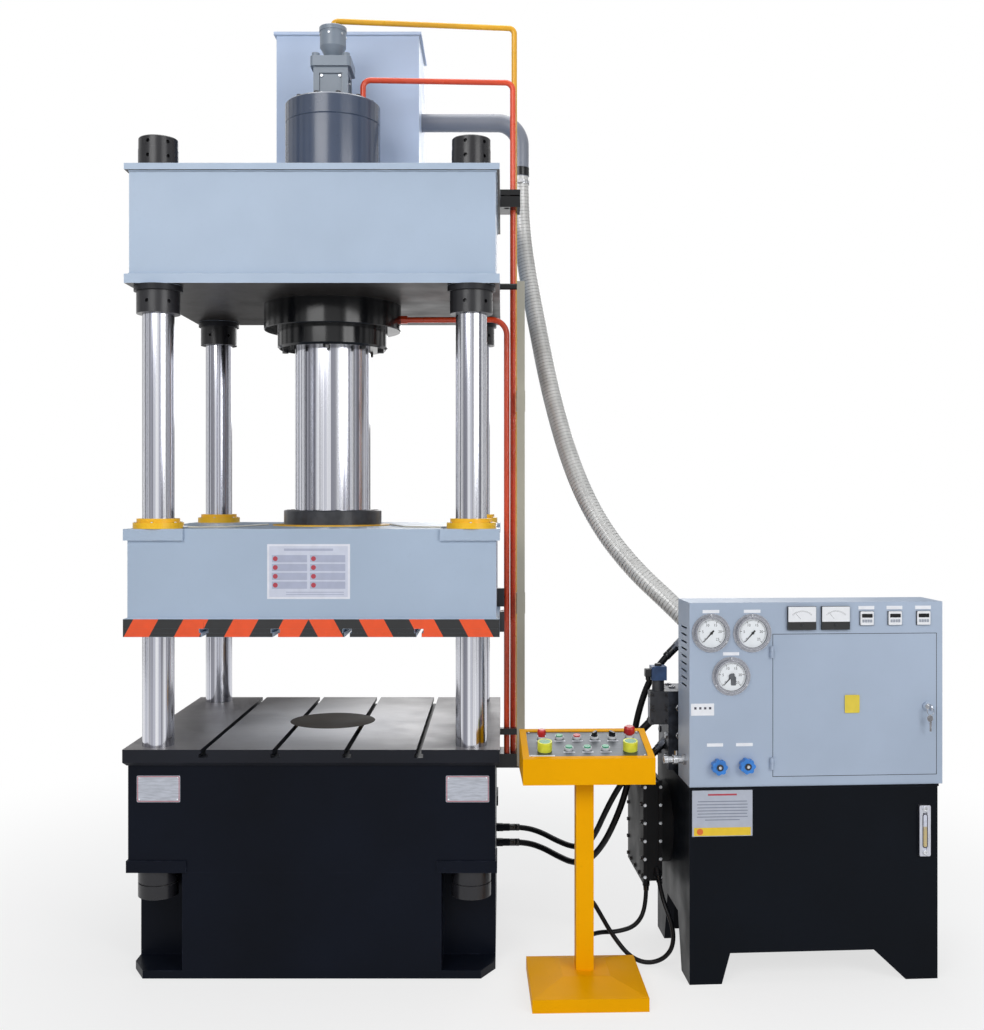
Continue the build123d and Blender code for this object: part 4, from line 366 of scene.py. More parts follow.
plate_metal = metal(
    "name_plate_metal", (176, 180, 190), rough=0.38, stretch=(0.1, 1, 1), scale=300.0, spread=0.06)
rivet_metal = metal("rivet_metal", (190, 192, 196), rough=0.28)
red_print = printed("red_print", (176, 62, 76))
plate_z, plate_face = 0.656, -0.5212
rivet = [(0, 0), (0.003, 0), (0.0026, 0.001), (0.0012, 0.0018), (0, 0.002)]
plates, rims, rivets = [], [], []
for x in (-0.5297, 0.5388):
    plates.append(front_slab(x, -0.52, plate_z, 0.150, 0.092, 0.0012, 0.004, 0.0004))
    for rise, width in ((0.014, 0.10), (0.000, 0.112), (-0.014, 0.112), (-0.028, 0.08)):
        plates.append(front_slab(x, plate_face, plate_z + rise, width, 0.0035, 0.0003))
    rims += [front_slab(x, plate_face, plate_z + s * 0.0425, 0.142, 0.0022, 0.0003) for s in (-1, 1)]
    rims += [front_slab(x + s * 0.0715, plate_face, plate_z, 0.0022, 0.086, 0.0003) for s in (-1, 1)]
    rivets += [turned((x + s, -0.521, plate_z + t), -NORTH, rivet, 12) for s in (-0.066, 0.066)
        for t in (-0.037, 0.037)]
piece("bed_plates", plates, "press", plate_metal)
piece("bed_plate_rims", rims, "press", red_print)
bright("bed_plate_rivets", rivets)


# Table. A thick plate, painted at its sides and surface ground on top, with four T-slots
# milled from front to back. Its top shows the long lines of the grinding wheel, and it is
# painted bright in the middle and darker towards its edges, a painted reflection.
def level_of(tree):
    """How high each spot lies above the floor, from the Object coordinates."""
    place = add_node(tree, "TexCoord").outputs["Object"]
    return add_node(tree, "SeparateXYZ", (0, place)).outputs["Z"]


table_finish, tree, shader = bare_material("table_ground_top")
normal = add_node(tree, "NewGeometry").outputs["Normal"]
facing = between(tree, add_node(tree, "SeparateXYZ", (0, normal)).outputs["Z"], 0.9, 0.95)
ground = product(tree, facing, between(tree, level_of(tree), 0.792, 0.794))
lines = between(tree, grain(tree, 40.0, (0.35, 9.0, 1), 6.0), 0.3, 0.7)
cloud = between(tree, grain(tree, 1.8, (1, 1.6, 1), 2.0), 0.4, 0.7, 0, 0.25)
# Bright in the middle and dimmer towards the edges: a painted reflection on the ground top.
place = add_node(tree, "TexCoord").outputs["Object"]
oval = add_node(tree, "VectorMath", (0, place), (1, (1.0, 0.75, 0.0)), operation="MULTIPLY").outputs["Vector"]
from_centre = add_node(tree, "VectorMath", (0, oval), (1, (0.04, -0.05, 0.0)), operation="DISTANCE")
reflection_bright_tone = blend_colour(tree, lines, tint(240, 238, 239), tint(254, 252, 252))
reflection_dim_tone = blend_colour(tree, lines, tint(108, 105, 106), tint(130, 127, 128))
top_tone = blend_colour(tree, between(tree, from_centre.outputs["Value"], 0.12, 0.52), reflection_bright_tone,
    reflection_dim_tone)
top_tone = blend_colour(tree, cloud, top_tone, tint(86, 84, 86))
side_tone = mottle(tree, 3.0, (14, 16, 24), (22, 25, 34))
tree.links.new(blend_colour(tree, ground, side_tone, top_tone), shader.inputs["Base Color"])
tree.links.new(between(tree, ground, 0, 1, 0, 0.35), shader.inputs["Metallic"])
shader.inputs["Specular IOR Level"].default_value = 0.2
rough_and_bump(tree, shader, 0.42, grain(tree, 40.0, (0.35, 9.0, 1), 6.0), 40.0, 0.04, 0.0001)
give(table_finish, "table_plate")

# Columns and nuts. Four hard-chromed, ground bars tie bed and crown together, and each is
# held by blackened ring nuts. The chrome is mirror bright, and light and dark streaks along
# the bar are painted into its colour as painted reflections.
chrome_finish, tree, shader = bare_material("hard_chrome")
shader.inputs["Metallic"].default_value = 1.0
# Light and dark streaks along the bar in the chrome's colour: painted reflections.
streak = between(tree, grain(tree, 150.0, (1, 1, 0.001), 3.0), 0.35, 0.65)
broad = between(tree, grain(tree, 52.0, (1, 1, 0.001), 2.0), 0.50, 0.60, 0, 0.75)
chrome_tone = blend_colour(tree, streak, tint(178, 180, 192), tint(228, 229, 234))
tree.links.new(blend_colour(tree, broad, chrome_tone, tint(96, 97, 110)), shader.inputs["Base Color"])
shader.inputs["Roughness"].default_value = 0.16
shader.inputs["Anisotropic"].default_value = 0.5
give(chrome_finish, "guide_columns", "ram")
nut_finish = enamel("blackened_nut", (32, 32, 36), rough=0.30, spread=0.16, edge_wear_and_highlight=(104, 104, 106), edge=0.002,
    gloss=0.4)
give(nut_finish, "column_nuts")
gland_finish = enamel(
    "blackened_gland", (16, 17, 20), rough=0.16, spread=0.2, edge_wear_and_highlight=(88, 88, 92), edge=0.002, peel=120.0,
    gloss=0.35)
give(gland_finish, "cylinder_nut", "gland_ring", "pipe_supports")

# Crown. A welded box like the bed, pale blue-grey, that carries the cylinder. The plates
# above and below stand proud of the box, the bosses over the nuts are blackened, and it
# bears no name here. The oil tank welded on it takes a lighter copy of the same enamel,
# a painted highlight.
# Lighter edges here are partly wear and partly a painted highlight, and faces that look down take a painted
# shade, dark as the shadow under the crown.
crown_paint = enamel(
    "crown_paint_finish", (178, 194, 214), spread=0.03, edge_wear_and_highlight=(208, 216, 226), edge=0.004, gloss=0.16,
    under=(40, 37, 36))
tree, shader = crown_paint.node_tree, crown_paint.node_tree.nodes["Principled BSDF"]
plates_tone = shader.inputs["Base Color"].links[0].from_socket
boss_tone = mottle(tree, 30.0, (30, 31, 34), (44, 45, 50))
above_bosses = between(tree, level_of(tree), 2.4052, 2.4056)
tree.links.new(blend_colour(tree, above_bosses, boss_tone, plates_tone), shader.inputs["Base Color"])
give(crown_paint, "crown_beam")
# A lighter copy of the crown's enamel for the oil tank: a painted highlight.
give(enamel("top_tank_painted_highlight", (192, 208, 234), spread=0.03, edge_wear_and_highlight=(208, 216, 226), edge=0.004, gloss=0.16),
    "top_tank")


def tube(line, radius, sides=8, aside=(0, 1, 0)):
    """A thin tube along a line: ring points are line + radius (cos a n + sin a b), n and b across the line.

    The radius is one number, or one for each point of the line.
    """
    way = np.gradient(line, axis=0)
    way /= np.linalg.norm(way, axis=1)[:, None]
    n = np.cross(way, np.array(aside, float))
    n /= np.linalg.norm(n, axis=1)[:, None]
    b = np.cross(way, n)
    angle = np.arange(sides) * 2 * math.pi / sides
    reach = np.broadcast_to(radius, len(line))[:, None, None]
    spoke = np.cos(angle)[None, :, None] * n[:, None] + np.sin(angle)[None, :, None] * b[:, None]
    faces = grid_faces(len(line), sides, round_columns=True)
    faces += [list(range(sides)), list(range((len(line) - 1) * sides, len(line) * sides))]
    return (line[:, None] + reach * spoke).reshape(-1, 3), faces


def weld_bead(corners, radius):
    """A weld along straight runs, a point every 20 mm, its radius times 1 plus two small waves."""
    corners = np.array(corners, float)
    counts = [max(int(np.linalg.norm(b - a) / 0.02), 2) for a, b in zip(corners[:-1], corners[1:])]
    runs = [np.linspace(a, b, n, endpoint=False) for a, b, n in zip(corners[:-1], corners[1:], counts)]
    line = np.concatenate(runs + [corners[-1:]])
    s = np.arange(len(line))
    return tube(line, radius * (1 + 0.10 * np.sin(1.9 * s) + 0.07 * np.sin(0.73 * s + 1)), 8, (0, 0, 1))


def weld_frame(x, y, z, centre=(0, 0)):
    """The four corners of a rectangle 2x by 2y round a centre at one level, the first again at the end."""
    signs = ((-1, -1), (1, -1), (1, 1), (-1, 1), (-1, -1))
    return [(centre[0] + a * x, centre[1] + b * y, z) for a, b in signs]


crown_welds = [weld_bead(weld_frame(0.636, 0.506, z), 0.005) for z in (2.438, 2.799)]
for z, radius in ((2.821, 0.005), (3.552, 0.003)):
    crown_welds.append(weld_bead(weld_frame(0.2915, 0.170, z, (0.0265, 0.410)), radius))
piece("crown_weld_beads", crown_welds, "press", crown_paint)

# Main cylinder. A forged barrel turned all over and sprayed dark grey. Its head is screwed
# on, and the prefill valve stands on it with its cap and flange screws.
cylinder_paint = enamel(
    "cylinder_paint_finish", (58, 70, 92), rough=0.24, spread=0.12, edge_wear_and_highlight=(120, 126, 132), peel=90.0, coat=0.2)
give(cylinder_paint, "main_cylinder")
valve_paint = enamel("valve_paint_finish", (128, 139, 152), rough=0.32, spread=0.10, edge_wear_and_highlight=(168, 172, 176))
give(valve_paint, "prefill_valve", "prefill_cap")


def disc(foot, axis, radius, high, sides=24):
    """A plain disc, or a block of six sides."""
    return turned(foot, axis, [(0, 0), (radius, 0), (radius, high), (0, high)], sides)


def screw(foot, axis, head, high):
    """A round socket screw head: a drawn-in rim round a sunk hexagon well."""
    r = head / 2
    rim = [(0, 0), (r, 0), (r, high * 0.75), (r * 0.85, high), (r * 0.5, high), (r * 0.48, high * 0.4),
        (0, high * 0.4)]
    return [turned(foot, axis, rim, 12)]


def around(count, first=0.0):
    """The cosine and sine of count equal steps round a circle, the first at an angle in degrees."""
    angle = np.radians(first + 360 / count * np.arange(count))
    return np.stack([np.cos(angle), np.sin(angle)], 1)


valve_wells = [disc((x, y, 3.3685), HIGH, 0.0095, 0.0008, 6) for x in (-0.058, 0.058)
    for y in (-0.058, 0.058)]
piece("valve_screw_wells", valve_wells, "press", gland_finish)
valve_screws = []
for out in (EAST, -EAST, NORTH, -NORTH):
    for side in (-0.035, 0.035):
        for rise in (-0.033, 0.033):
            foot = 0.0578 * out + side * np.cross(out, HIGH) + (3.250 + rise) * HIGH
            valve_screws += screw(foot, out, 0.012, 0.006)
for c, s in around(6, 20):
    valve_screws += screw((0.0505 * c, 0.0505 * s, 3.455), (c, s, 0), 0.009, 0.003)
bright("valve_body_screws", valve_screws)
head_screws = []
for c, s in around(12, 15):
    head_screws += screw((0.158 * c, 0.158 * s, 3.1829), HIGH, 0.022, 0.010)
piece("cylinder_head_screws", head_screws, "press", nut_finish)
give(enamel("suction_pipe_paint", (126, 131, 143), rough=0.30, spread=0.08, edge_wear_and_highlight=(188, 190, 194)),
    "suction_pipe")

# Pressure pipes. Drawn steel tube, bent cold and sprayed orange, and yellow for the pilot
# line, with hexagon unions at the ends and a clamp on the crown.
for name, shade, edge_wear_and_highlight, node in (
    ("orange_pipe_paint", (226, 74, 34), (188, 70, 44), "pressure_pipes"),
    ("yellow_pipe_paint", (228, 168, 24), (190, 140, 40), "pilot_pipe"),
):
    give(enamel(name, shade, rough=0.28, spread=0.10, edge_wear_and_highlight=edge_wear_and_highlight, coat=0.2), node)

# Slide. A welded beam that the ram pushes down the columns. Its bottom plate carries
# black and orange bands, and a printed notice is stuck on its front.
# Its lighter edges are partly wear and partly a painted highlight.
slide_paint = enamel("slide_paint_finish", (170, 186, 206), spread=0.03, edge_wear_and_highlight=(206, 213, 222), edge=0.004,
    gloss=0.2)
give(slide_paint, "slide_beam")
slide_weld = weld_bead([(x, y, 1.244) for x,
    y in ((0.638, -0.518), (-0.638, -0.518), (-0.638, 0.518), (0.638, 0.518))], 0.004)
piece("slide_weld_bead", [slide_weld], "slide", slide_paint)


def film_band(left, right, lean, face, thick):
    """A band of film on the bottom plate, from left to right and moved sideways by lean at its foot.

    It comes in three rows, and each leaves out the slots' width there.
    """
    shells = []
    for low, high, half in ((1.1826, 1.1959, 0.0096), (1.1961, 1.2106, 0.0161), (1.2108, 1.2434, 0.0)):
        moved = lean * (1.2435 - np.array([low, high])) / 0.061
        ends = [-1.0] + [c + s * half for c in (-0.37125, -0.12375, 0.12375, 0.37125)
            for s in (-1, 1)] + [1.0]
        for open_left, open_right in zip(ends[::2], ends[1::2]):
            start = np.maximum(left + moved, open_left)
            end = np.maximum(np.minimum(right + moved, open_right), start)
            if (end > start).any():
                x = np.array([start[0], end[0], end[1], start[1]])
                z = np.array([low, low, high, high])
                rows = np.concatenate([np.stack([x, 0 * x + y, z], 1) for y in (face, face - thick)])
                shells.append((rows, grid_faces(2, 4, round_columns=True) + [[0, 1, 2, 3], [4, 5, 6, 7]]))
    return shells


black_band = film_band(-0.6497, 0.6497, 0.0, -0.53, 0.0004)
piece("slide_black_band", black_band, "slide", printed("black_band_film", (22, 24, 27), 0.4, 0.2))
band_middle, band_pitch, band_lean = -0.009, 0.1728, 0.033
bands = []
for start in band_middle + band_pitch * np.arange(4):
    bands += film_band(start, start + band_pitch / 2, band_lean, -0.5304, 0.0004)
for end in band_middle - band_pitch * np.arange(4):
    bands += film_band(end - band_pitch / 2, end, -band_lean, -0.5304, 0.0004)
piece("slide_orange_bands", bands, "slide", printed("orange_band_film", (238, 84, 34), 0.4))
notice_x, notice_z, row_face, row_z, row_pitch = -0.011, 1.4075, -0.5192, 1.452, 0.0305
cells = [(notice_x + s * 0.066, row_z - row_pitch * r) for s in (-1, 1) for r in range(4)]
notice = [front_slab(notice_x, -0.518, notice_z, 0.287, 0.190, 0.0010, 0.002)]
piece("slide_notice", notice, "slide", printed("notice_white", (226, 228, 238)))
field = [front_slab(notice_x, -0.519, notice_z, 0.272, 0.176, 0.0002)]
piece("slide_notice_field", field, "slide", printed("notice_pale", (205, 210, 226)))
rows = [front_slab(x, row_face, z, 0.122, 0.025, 0.0002) for x, z in cells]
rows.append(front_slab(notice_x, row_face, 1.483, 0.17, 0.008, 0.0002))
rows += [front_slab(0.011, row_face, 1.336 - 0.008 * r, 0.20, 0.003, 0.0002) for r in range(2)]
piece("slide_notice_rows", rows, "slide", printed("notice_rows", (172, 178, 200)))
dots = [disc((x - 0.049, row_face - 0.0002, z), -NORTH, 0.0085, 0.0002, 20) for x, z in cells]
piece("slide_notice_dots", dots, "slide", red_print)

# Ram flange and wipers. A dark flange bolts the ram to the slide and sits in a yellow ring,
# and a yellow collar with a rubber lip keeps dirt off each bronze bush. Two plastic lines
# feed oil to the front bushes.
flange_finish, tree, shader = bare_material("ram_flange_finish")
slide_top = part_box("ram_flange")[0][2]
above_ring = between(tree, level_of(tree), slide_top + 0.0042, slide_top + 0.0046)
ring_tone = mottle(tree, 20.0, (226, 170, 22), (246, 192, 36))
dark_tone = mottle(tree, 30.0, (34, 36, 42), (56, 58, 64))
tree.links.new(blend_colour(tree, above_ring, ring_tone, dark_tone), shader.inputs["Base Color"])
rough_and_bump(tree, shader, 0.32, None, 200.0, 0.1, 0.0004)
give(flange_finish, "ram_flange")
give(enamel("wiper_paint_finish", (250, 192, 24), spread=0.06, edge_wear_and_highlight=(200, 160, 60)), "wiper_collars")
give(metal("cast_bronze", (176, 128, 72), rough=0.32, scale=80.0), "guide_bushes")
give(nut_finish, "striker_blocks")
wiper_screws, flange_screws = [], []
for x in (-0.55, 0.55):
    for y in (-0.45, 0.45):
        for c, s in around(6, 30):
            wiper_screws += screw((x + 0.0805 * c, y + 0.0805 * s, 1.5759), HIGH, 0.009, 0.003)
for c, s in around(12, 15):
    flange_screws += screw((0.168 * c, 0.168 * s, 1.6139), HIGH, 0.018, 0.002)
bright("wiper_screws", wiper_screws, "slide")
piece("flange_screws", flange_screws, "slide", gland_finish)


def rounded_run(corners, bend, steps=6):
    """The line of a bent tube: each corner becomes the parabola from bend before it to bend after it."""
    corners = np.array(corners, float)
    before = corners[1:-1] - corners[:-2]
    after = corners[2:] - corners[1:-1]
    start = corners[1:-1] - bend * before / np.linalg.norm(before, axis=1)[:, None]
    end = corners[1:-1] + bend * after / np.linalg.norm(after, axis=1)[:, None]
    t = np.linspace(0, 1, steps)[None, :, None]
    arcs = (1 - t) ** 2 * start[:, None] + 2 * t * (1 - t) * corners[1:-1][:, None] + t ** 2 * end[:, None]
    return np.concatenate([corners[:1], arcs.reshape(-1, 3), corners[-1:]])


oil_z = 1.5595
union = [(0, 0), (0.006, 0), (0.006, 0.014), (0.004, 0.018), (0, 0.018)]
oil_lines, oil_unions = [], []
for side in (-1, 1):
    run = [(side * x, y, oil_z) for x, y in ((0.463, -0.45), (0.40, -0.45), (0.31, -0.40), (0.232, -0.10))]
    oil_lines.append(tube(rounded_run(run, 0.02), 0.003, aside=(0, 0, 1)))
    oil_unions.append(turned(run[0], (-side, 0, 0), union, 6))
piece("slide_oil_lines", oil_lines, "slide", printed("oil_line_plastic", (206, 202, 188), 0.22))
bright("slide_oil_unions", oil_unions, "slide")

# Ejector plate. A turned disc of browned steel, flush in the table, that a small cylinder
# in the bed pushes up. Turning left rings and a centre mark in it.
disc_finish, tree, shader = bare_material("browned_disc")
place = add_node(tree, "TexCoord").outputs["Object"]
waves = (("Vector", place), ("Scale", 90.0), ("Distortion", 0.8))
rings = add_node(tree, "TexWave", *waves, wave_type="RINGS", rings_direction="Z").outputs["Fac"]
rust_tone = mottle(tree, 14.0, (42, 36, 31), (58, 49, 42), 0.35, 0.65, 6.0)
disc_tone = blend_colour(tree, between(tree, rings, 0, 1, 0, 0.25), rust_tone, tint(78, 68, 58))
tree.links.new(disc_tone, shader.inputs["Base Color"])
shader.inputs["Specular IOR Level"].default_value = 0.08
rough_and_bump(tree, shader, 0.55, rings, 90.0, 0.12, 0.0003)
give(disc_finish, "ejector_plate")

# Limit switch rail. A square tube of zinc-coated steel beside the slide, with two roller
# switches that the slide's strikers work.
rail_zinc = enamel("rail_zinc", (176, 172, 156), rough=0.34, spread=0.08, edge_wear_and_highlight=(200, 198, 190), edge=0.002,
    gloss=0.7)
give(rail_zinc, "limit_switch_rail")

# Oil tank. A folded and welded tank of near-black painted sheet on cut-out legs. A plain
# grey and yellow notice is stuck on its front beside a sight glass.
UNIT = np.array((1.298, -0.574, 0.0))
ALONG = np.array((0.997859, 0.065403, 0.0))
BACK = np.array((-0.065403, 0.997859, 0.0))


def on_unit(u, v, z):
    """The power unit's own place (u, v, z) in the press's frame: corner + u along + v back + z up."""
    return UNIT + u * ALONG + v * BACK + z * HIGH


def unit_slab(u, v, z, *sizes):
    """A flat plate that faces the front of the power unit."""
    return slab(on_unit(u, v, z), ALONG, HIGH, *sizes)


def film(name, shells, finish, shade, rough=0.45, spread=0.04):
    """A standing piece of printed film or plain plastic, with a finish of its own."""
    return piece(name, shells, "press", printed(finish, shade, rough, spread))


tank_paint = enamel("tank_paint_finish", (11, 15, 22), rough=0.38, spread=0.18, edge_wear_and_highlight=(42, 47, 60),
    edge=0.004, gloss=0.08)
give(tank_paint, "oil_tank")
notice_u, band_z = 0.1135, 0.522
row_widths = (0.17, 0.176, 0.174, 0.176, 0.172, 0.176, 0.12)
tank_rows = [
    unit_slab(notice_u, -0.001, 0.625 - 0.0105 * r, w, 0.0032, 0.0002) for r, w in enumerate(row_widths)]
for name, shells, finish, slot in (
    ("tank_notice", [unit_slab(notice_u, 0, 0.5845, 0.209, 0.157, 0.0010, 0.002)],
     printed("tank_notice_grey", (178, 184, 198)), "panel_metal"),
    ("tank_notice_rows", tank_rows, printed("tank_notice_rows", (128, 134, 150)), "panel_metal"),
    ("tank_notice_head", [unit_slab(notice_u, -0.001, 0.648, 0.10, 0.006, 0.0002)], red_print, "red_plastic"),
    ("tank_notice_band", [unit_slab(notice_u, -0.001, band_z, 0.197, 0.028, 0.0002)],
     printed("notice_yellow", (232, 196, 40)), "yellow_paint"),
    ("tank_notice_spot", [disc(on_unit(0.036, -0.0012, band_z), -BACK, 0.011, 0.0002, 20)],
     printed("notice_orange", (220, 108, 40)), "orange_paint"),
):
    piece(name, shells, "press", finish)
gauge_metal = metal("level_gauge_metal", (192, 194, 204), rough=0.32, stretch=(1, 1, 0.1), scale=200.0,
    spread=0.05)
give(gauge_metal, "level_gauge")
sight_finish, tree, shader = bare_material("sight_glass_finish")
oil_tone = blend_colour(tree, between(tree, level_of(tree), 0.528, 0.532), tint(196, 176, 120),
    tint(214, 218, 232))
glass_cloud = between(tree, grain(tree, 60.0), 0.3, 0.7, 0, 0.3)
tree.links.new(blend_colour(tree, glass_cloud, oil_tone, tint(150, 150, 168)), shader.inputs["Base Color"])
rough_and_bump(tree, shader, 0.10, None, 80.0, 0.05, 0.0004)
gauge_u, gauge_front = 0.819, -0.0138
sight = [unit_slab(gauge_u, gauge_front, 0.515, 0.013, 0.112, 0.0030, 0.006, 0.002)]
piece("level_sight_glass", sight, "press", sight_finish)
sight_rim = [unit_slab(gauge_u, gauge_front + 0.0002, 0.515, 0.019, 0.118, 0.0010, 0.008)]
film("level_sight_rim", sight_rim, "sight_rim_dark", (52, 50, 66))
gauge_screws = []
for z in (0.4405, 0.5895):
    gauge_screws += screw(on_unit(gauge_u, gauge_front, z), -BACK, 0.017, 0.006)
bright("level_gauge_screws", gauge_screws)

# Cooler. A plate heat exchanger in black paint bolted to the tank's left side, its flanges
# held by rows of bright bolts in front and blackened ones at its side.
cooler_paint = enamel("cooler_paint_finish", (17, 18, 21), rough=0.46, spread=0.3, edge_wear_and_highlight=(62, 62, 66),
    peel=160.0, gloss=0.15)
give(cooler_paint, "heat_exchanger")


def bolt(foot, axis, head, high):
    """A six-sided bolt head with a drawn-in top, on its washer."""
    r = head * 0.55
    hexagon = [(0, high * 0.2), (r, high * 0.2), (r, high * 0.9), (head * 0.47, high), (0, high)]
    return [disc(foot, axis, head * 0.66, high * 0.22, 16), turned(foot, axis, hexagon, 6)]


cooler_bolts, side_bolts = [], []
for z in np.linspace(0.29, 0.615, 6):
    for u in (-0.107, -0.050):
        cooler_bolts += bolt(on_unit(u, 0.2502, z), -BACK, 0.009, 0.006)
    for v in (0.272, 0.558):
        side_bolts += bolt(on_unit(-0.1128, v, z), -ALONG, 0.013, 0.008)
for v in np.linspace(0.33, 0.50, 3):
    for z in (0.285, 0.62):
        side_bolts += bolt(on_unit(-0.1128, v, z), -ALONG, 0.013, 0.008)
bright("cooler_bolts", cooler_bolts)
piece("cooler_side_bolts", side_bolts, "press", nut_finish)

# Motor and pump. A finned foot motor drives the pump through a bell housing, all bolted to
# the tank's top behind the cabinet. A wire guard covers its fan.
motor_paint = enamel("motor_paint_finish", (58, 74, 96), rough=0.40, spread=0.12, edge_wear_and_highlight=(120, 126, 132))
give(motor_paint, "motor_pump_set")


def band_ring(foot, axis, inner, outer, low, high, sides=40):
    """A flat ring round an axis, from low to high above its foot."""
    return turned(foot, axis, [(inner, low), (inner, high), (outer, high), (outer, low), (inner, low)], sides)


motor_v, motor_z = 0.400, 0.844
cowl = on_unit(0.885, motor_v, motor_z)
guard = [band_ring(cowl, ALONG, r - 0.003, r + 0.003, -0.0005, 0.002) for r in np.linspace(0.030, 0.108, 5)]
guard.append(turned(cowl, ALONG, [(0, -0.0005), (0.014, -0.0005), (0.014, 0.003), (0, 0.004)]))
bright("motor_cowl_guard", guard)
fins = []
for c, s in around(48, 3.75):
    if s > -0.45 and abs(c) > 0.45:
        rise = c * BACK + s * HIGH
        foot = on_unit(0.640, motor_v, motor_z) + 0.1335 * rise - 0.0014 * np.cross(ALONG, rise)
        fins.append(slab(foot, ALONG, rise, 0.340, 0.009, 0.0028, 0.001, 0.0004, 2))
piece("motor_fins", fins, "press", motor_paint)
motor_bolts = []
for u in (0.545, 0.735):
    for v in (0.270, 0.530):
        motor_bolts += bolt(on_unit(u, v, 0.692), HIGH, 0.020, 0.010)
for count, first, u, radius, head, high in ((8, 22.5, 0.395, 0.0775, 0.012, 0.007),
        (4, 45, 0.285, 0.048, 0.014, 0.008)):
    for c, s in around(count, first):
        motor_bolts += bolt(on_unit(u, motor_v + radius * c, motor_z + radius * s), -ALONG, head, high)
for u in (0.598, 0.682):
    for v in (0.358, 0.442):
        motor_bolts += screw(on_unit(u, v, 1.0288), HIGH, 0.009, 0.004)
bright("motor_bolts", motor_bolts)

# Valve block. A drilled steel manifold under the hoses, its drillings shut by plugs, with
# solenoid valves screwed on. Their coils are blue and their connectors black.
give(metal("valve_block_steel", (62, 65, 72), rough=0.42, scale=40.0, spread=0.2, edge_wear_and_highlight=(128, 128, 130)),
    "valve_block")
valves_finish, tree, shader = bare_material("solenoid_finish")
body_tone = mottle(tree, 26.0, (38, 40, 46), (62, 64, 70))
coil_tone = mottle(tree, 40.0, (38, 64, 104), (54, 86, 132))
above_body = between(tree, level_of(tree), 0.9995, 1.0005)
tree.links.new(blend_colour(tree, above_body, body_tone, coil_tone), shader.inputs["Base Color"])
rough_and_bump(tree, shader, 0.38, None, 150.0, 0.1, 0.0005)
give(valves_finish, "control_valves")
fitting_metal = metal("fitting_zinc", (172, 174, 178), rough=0.26, scale=90.0, spread=0.10,
    edge_wear_and_highlight=(214, 214, 214))
coupling = [
    (0, 0), (0.013, 0), (0.013, 0.016), (0.017, 0.018), (0.017, 0.034), (0.012, 0.036), (0.012, 0.050),
    (0.015, 0.052), (0.015, 0.066), (0.009, 0.068), (0, 0.068),
]
fitting = [disc(on_unit(0.0004, 0.060, 0.757), -ALONG, 0.019, 0.012, 6)]
fitting.append(turned(on_unit(-0.011, 0.060, 0.757), -ALONG, coupling))
fitting.append(disc(on_unit(-0.034, 0.060, 0.770), HIGH, 0.006, 0.018, 16))
piece("gauge_line_fitting", fitting, "press", fitting_metal)
plug = [(0, 0), (0.013, 0), (0.013, 0.005), (0.0115, 0.006), (0.0065, 0.006), (0.0062, 0.003), (0, 0.003)]
plug_places = [(-0.020, v, z, -ALONG) for v,
    z in ((0.300, 0.715), (0.410, 0.715), (0.410, 0.795), (0.290, 0.795), (0.410, 0.925))]
plug_places += [(u, 0.440, z, BACK) for u in (0.015, 0.070, 0.125) for z in (0.730, 0.900)]
plug_places += [(u, 0.260, z, -BACK) for u in (0.020, 0.080) for z in (0.730, 0.800, 0.900)]
plug_places += [(0.010, v, 0.960, HIGH) for v in (0.410, 0.340)]
plugs = [turned(on_unit(u, v, z), out, plug, 6) for u, v, z, out in plug_places]
piece("block_plugs", plugs, "press", fitting_metal)
side_u, side_v, row_u, row_v, row_z, coil_reach = -0.053, 0.283, 0.137, 0.350, 0.991, 0.058
coil_nut = [(0, 0), (0.013, 0), (0.013, 0.007), (0.011, 0.009), (0, 0.009)]
valve_heads = []
for z in (0.853, 0.893, 0.907, 0.947):
    for u in (side_u - 0.024, side_u + 0.024):
        valve_heads += screw(on_unit(u, 0.2598, z), -BACK, 0.010, 0.006)
for u in (row_u - 0.016, row_u + 0.016):
    for v in (row_v - 0.034, row_v + 0.034):
        valve_heads += screw(on_unit(u, v, 1.0218), HIGH, 0.010, 0.006)
valve_heads.append(turned(on_unit(side_u, side_v, 1.0498), HIGH, coil_nut, 6))
valve_heads += [turned(on_unit(row_u, row_v + end * 0.0858, row_z), end * BACK, coil_nut, 6)
    for end in (-1, 1)]
piece("valve_heads", valve_heads, "press", nut_finish)
coil_vs = [row_v + end * coil_reach for end in (-1, 1)]
coils = [unit_slab(row_u, v + 0.017, row_z, 0.052, 0.052, 0.034, 0.006, 0.002) for v in coil_vs]
coil_blue = enamel("coil_blue", (44, 74, 118), rough=0.42, spread=0.14, peel=300.0)
piece("row_valve_coils", coils, "press", coil_blue)
side_stub = [(0, 0), (0.009, 0), (0.009, 0.010), (0.0065, 0.014), (0, 0.014)]
row_stub = [(0, 0), (0.008, 0), (0.008, 0.010), (0.006, 0.014), (0, 0.014)]
connectors = [slab(on_unit(-0.0798, side_v, 1.025), -BACK, HIGH, 0.028, 0.030, 0.022, 0.004, 0.002)]
connectors += [slab(on_unit(row_u, v, 1.0168), ALONG, BACK, 0.028, 0.028, 0.022, 0.004, 0.002)
    for v in coil_vs]
connectors.append(turned(on_unit(-0.090, side_v, 1.0105), -HIGH, side_stub, 12))
connectors += [turned(on_unit(row_u + 0.014, v, 1.028), ALONG, row_stub, 12) for v in coil_vs]
film("valve_connectors", connectors, "connector_black", (24, 25, 28), 0.4, 0.2)
valve_plate = [slab(on_unit(-0.0858, side_v, 0.900), -BACK, HIGH, 0.030, 0.070, 0.0010, 0.002)]
piece("side_valve_plate", valve_plate, "press", plate_metal)

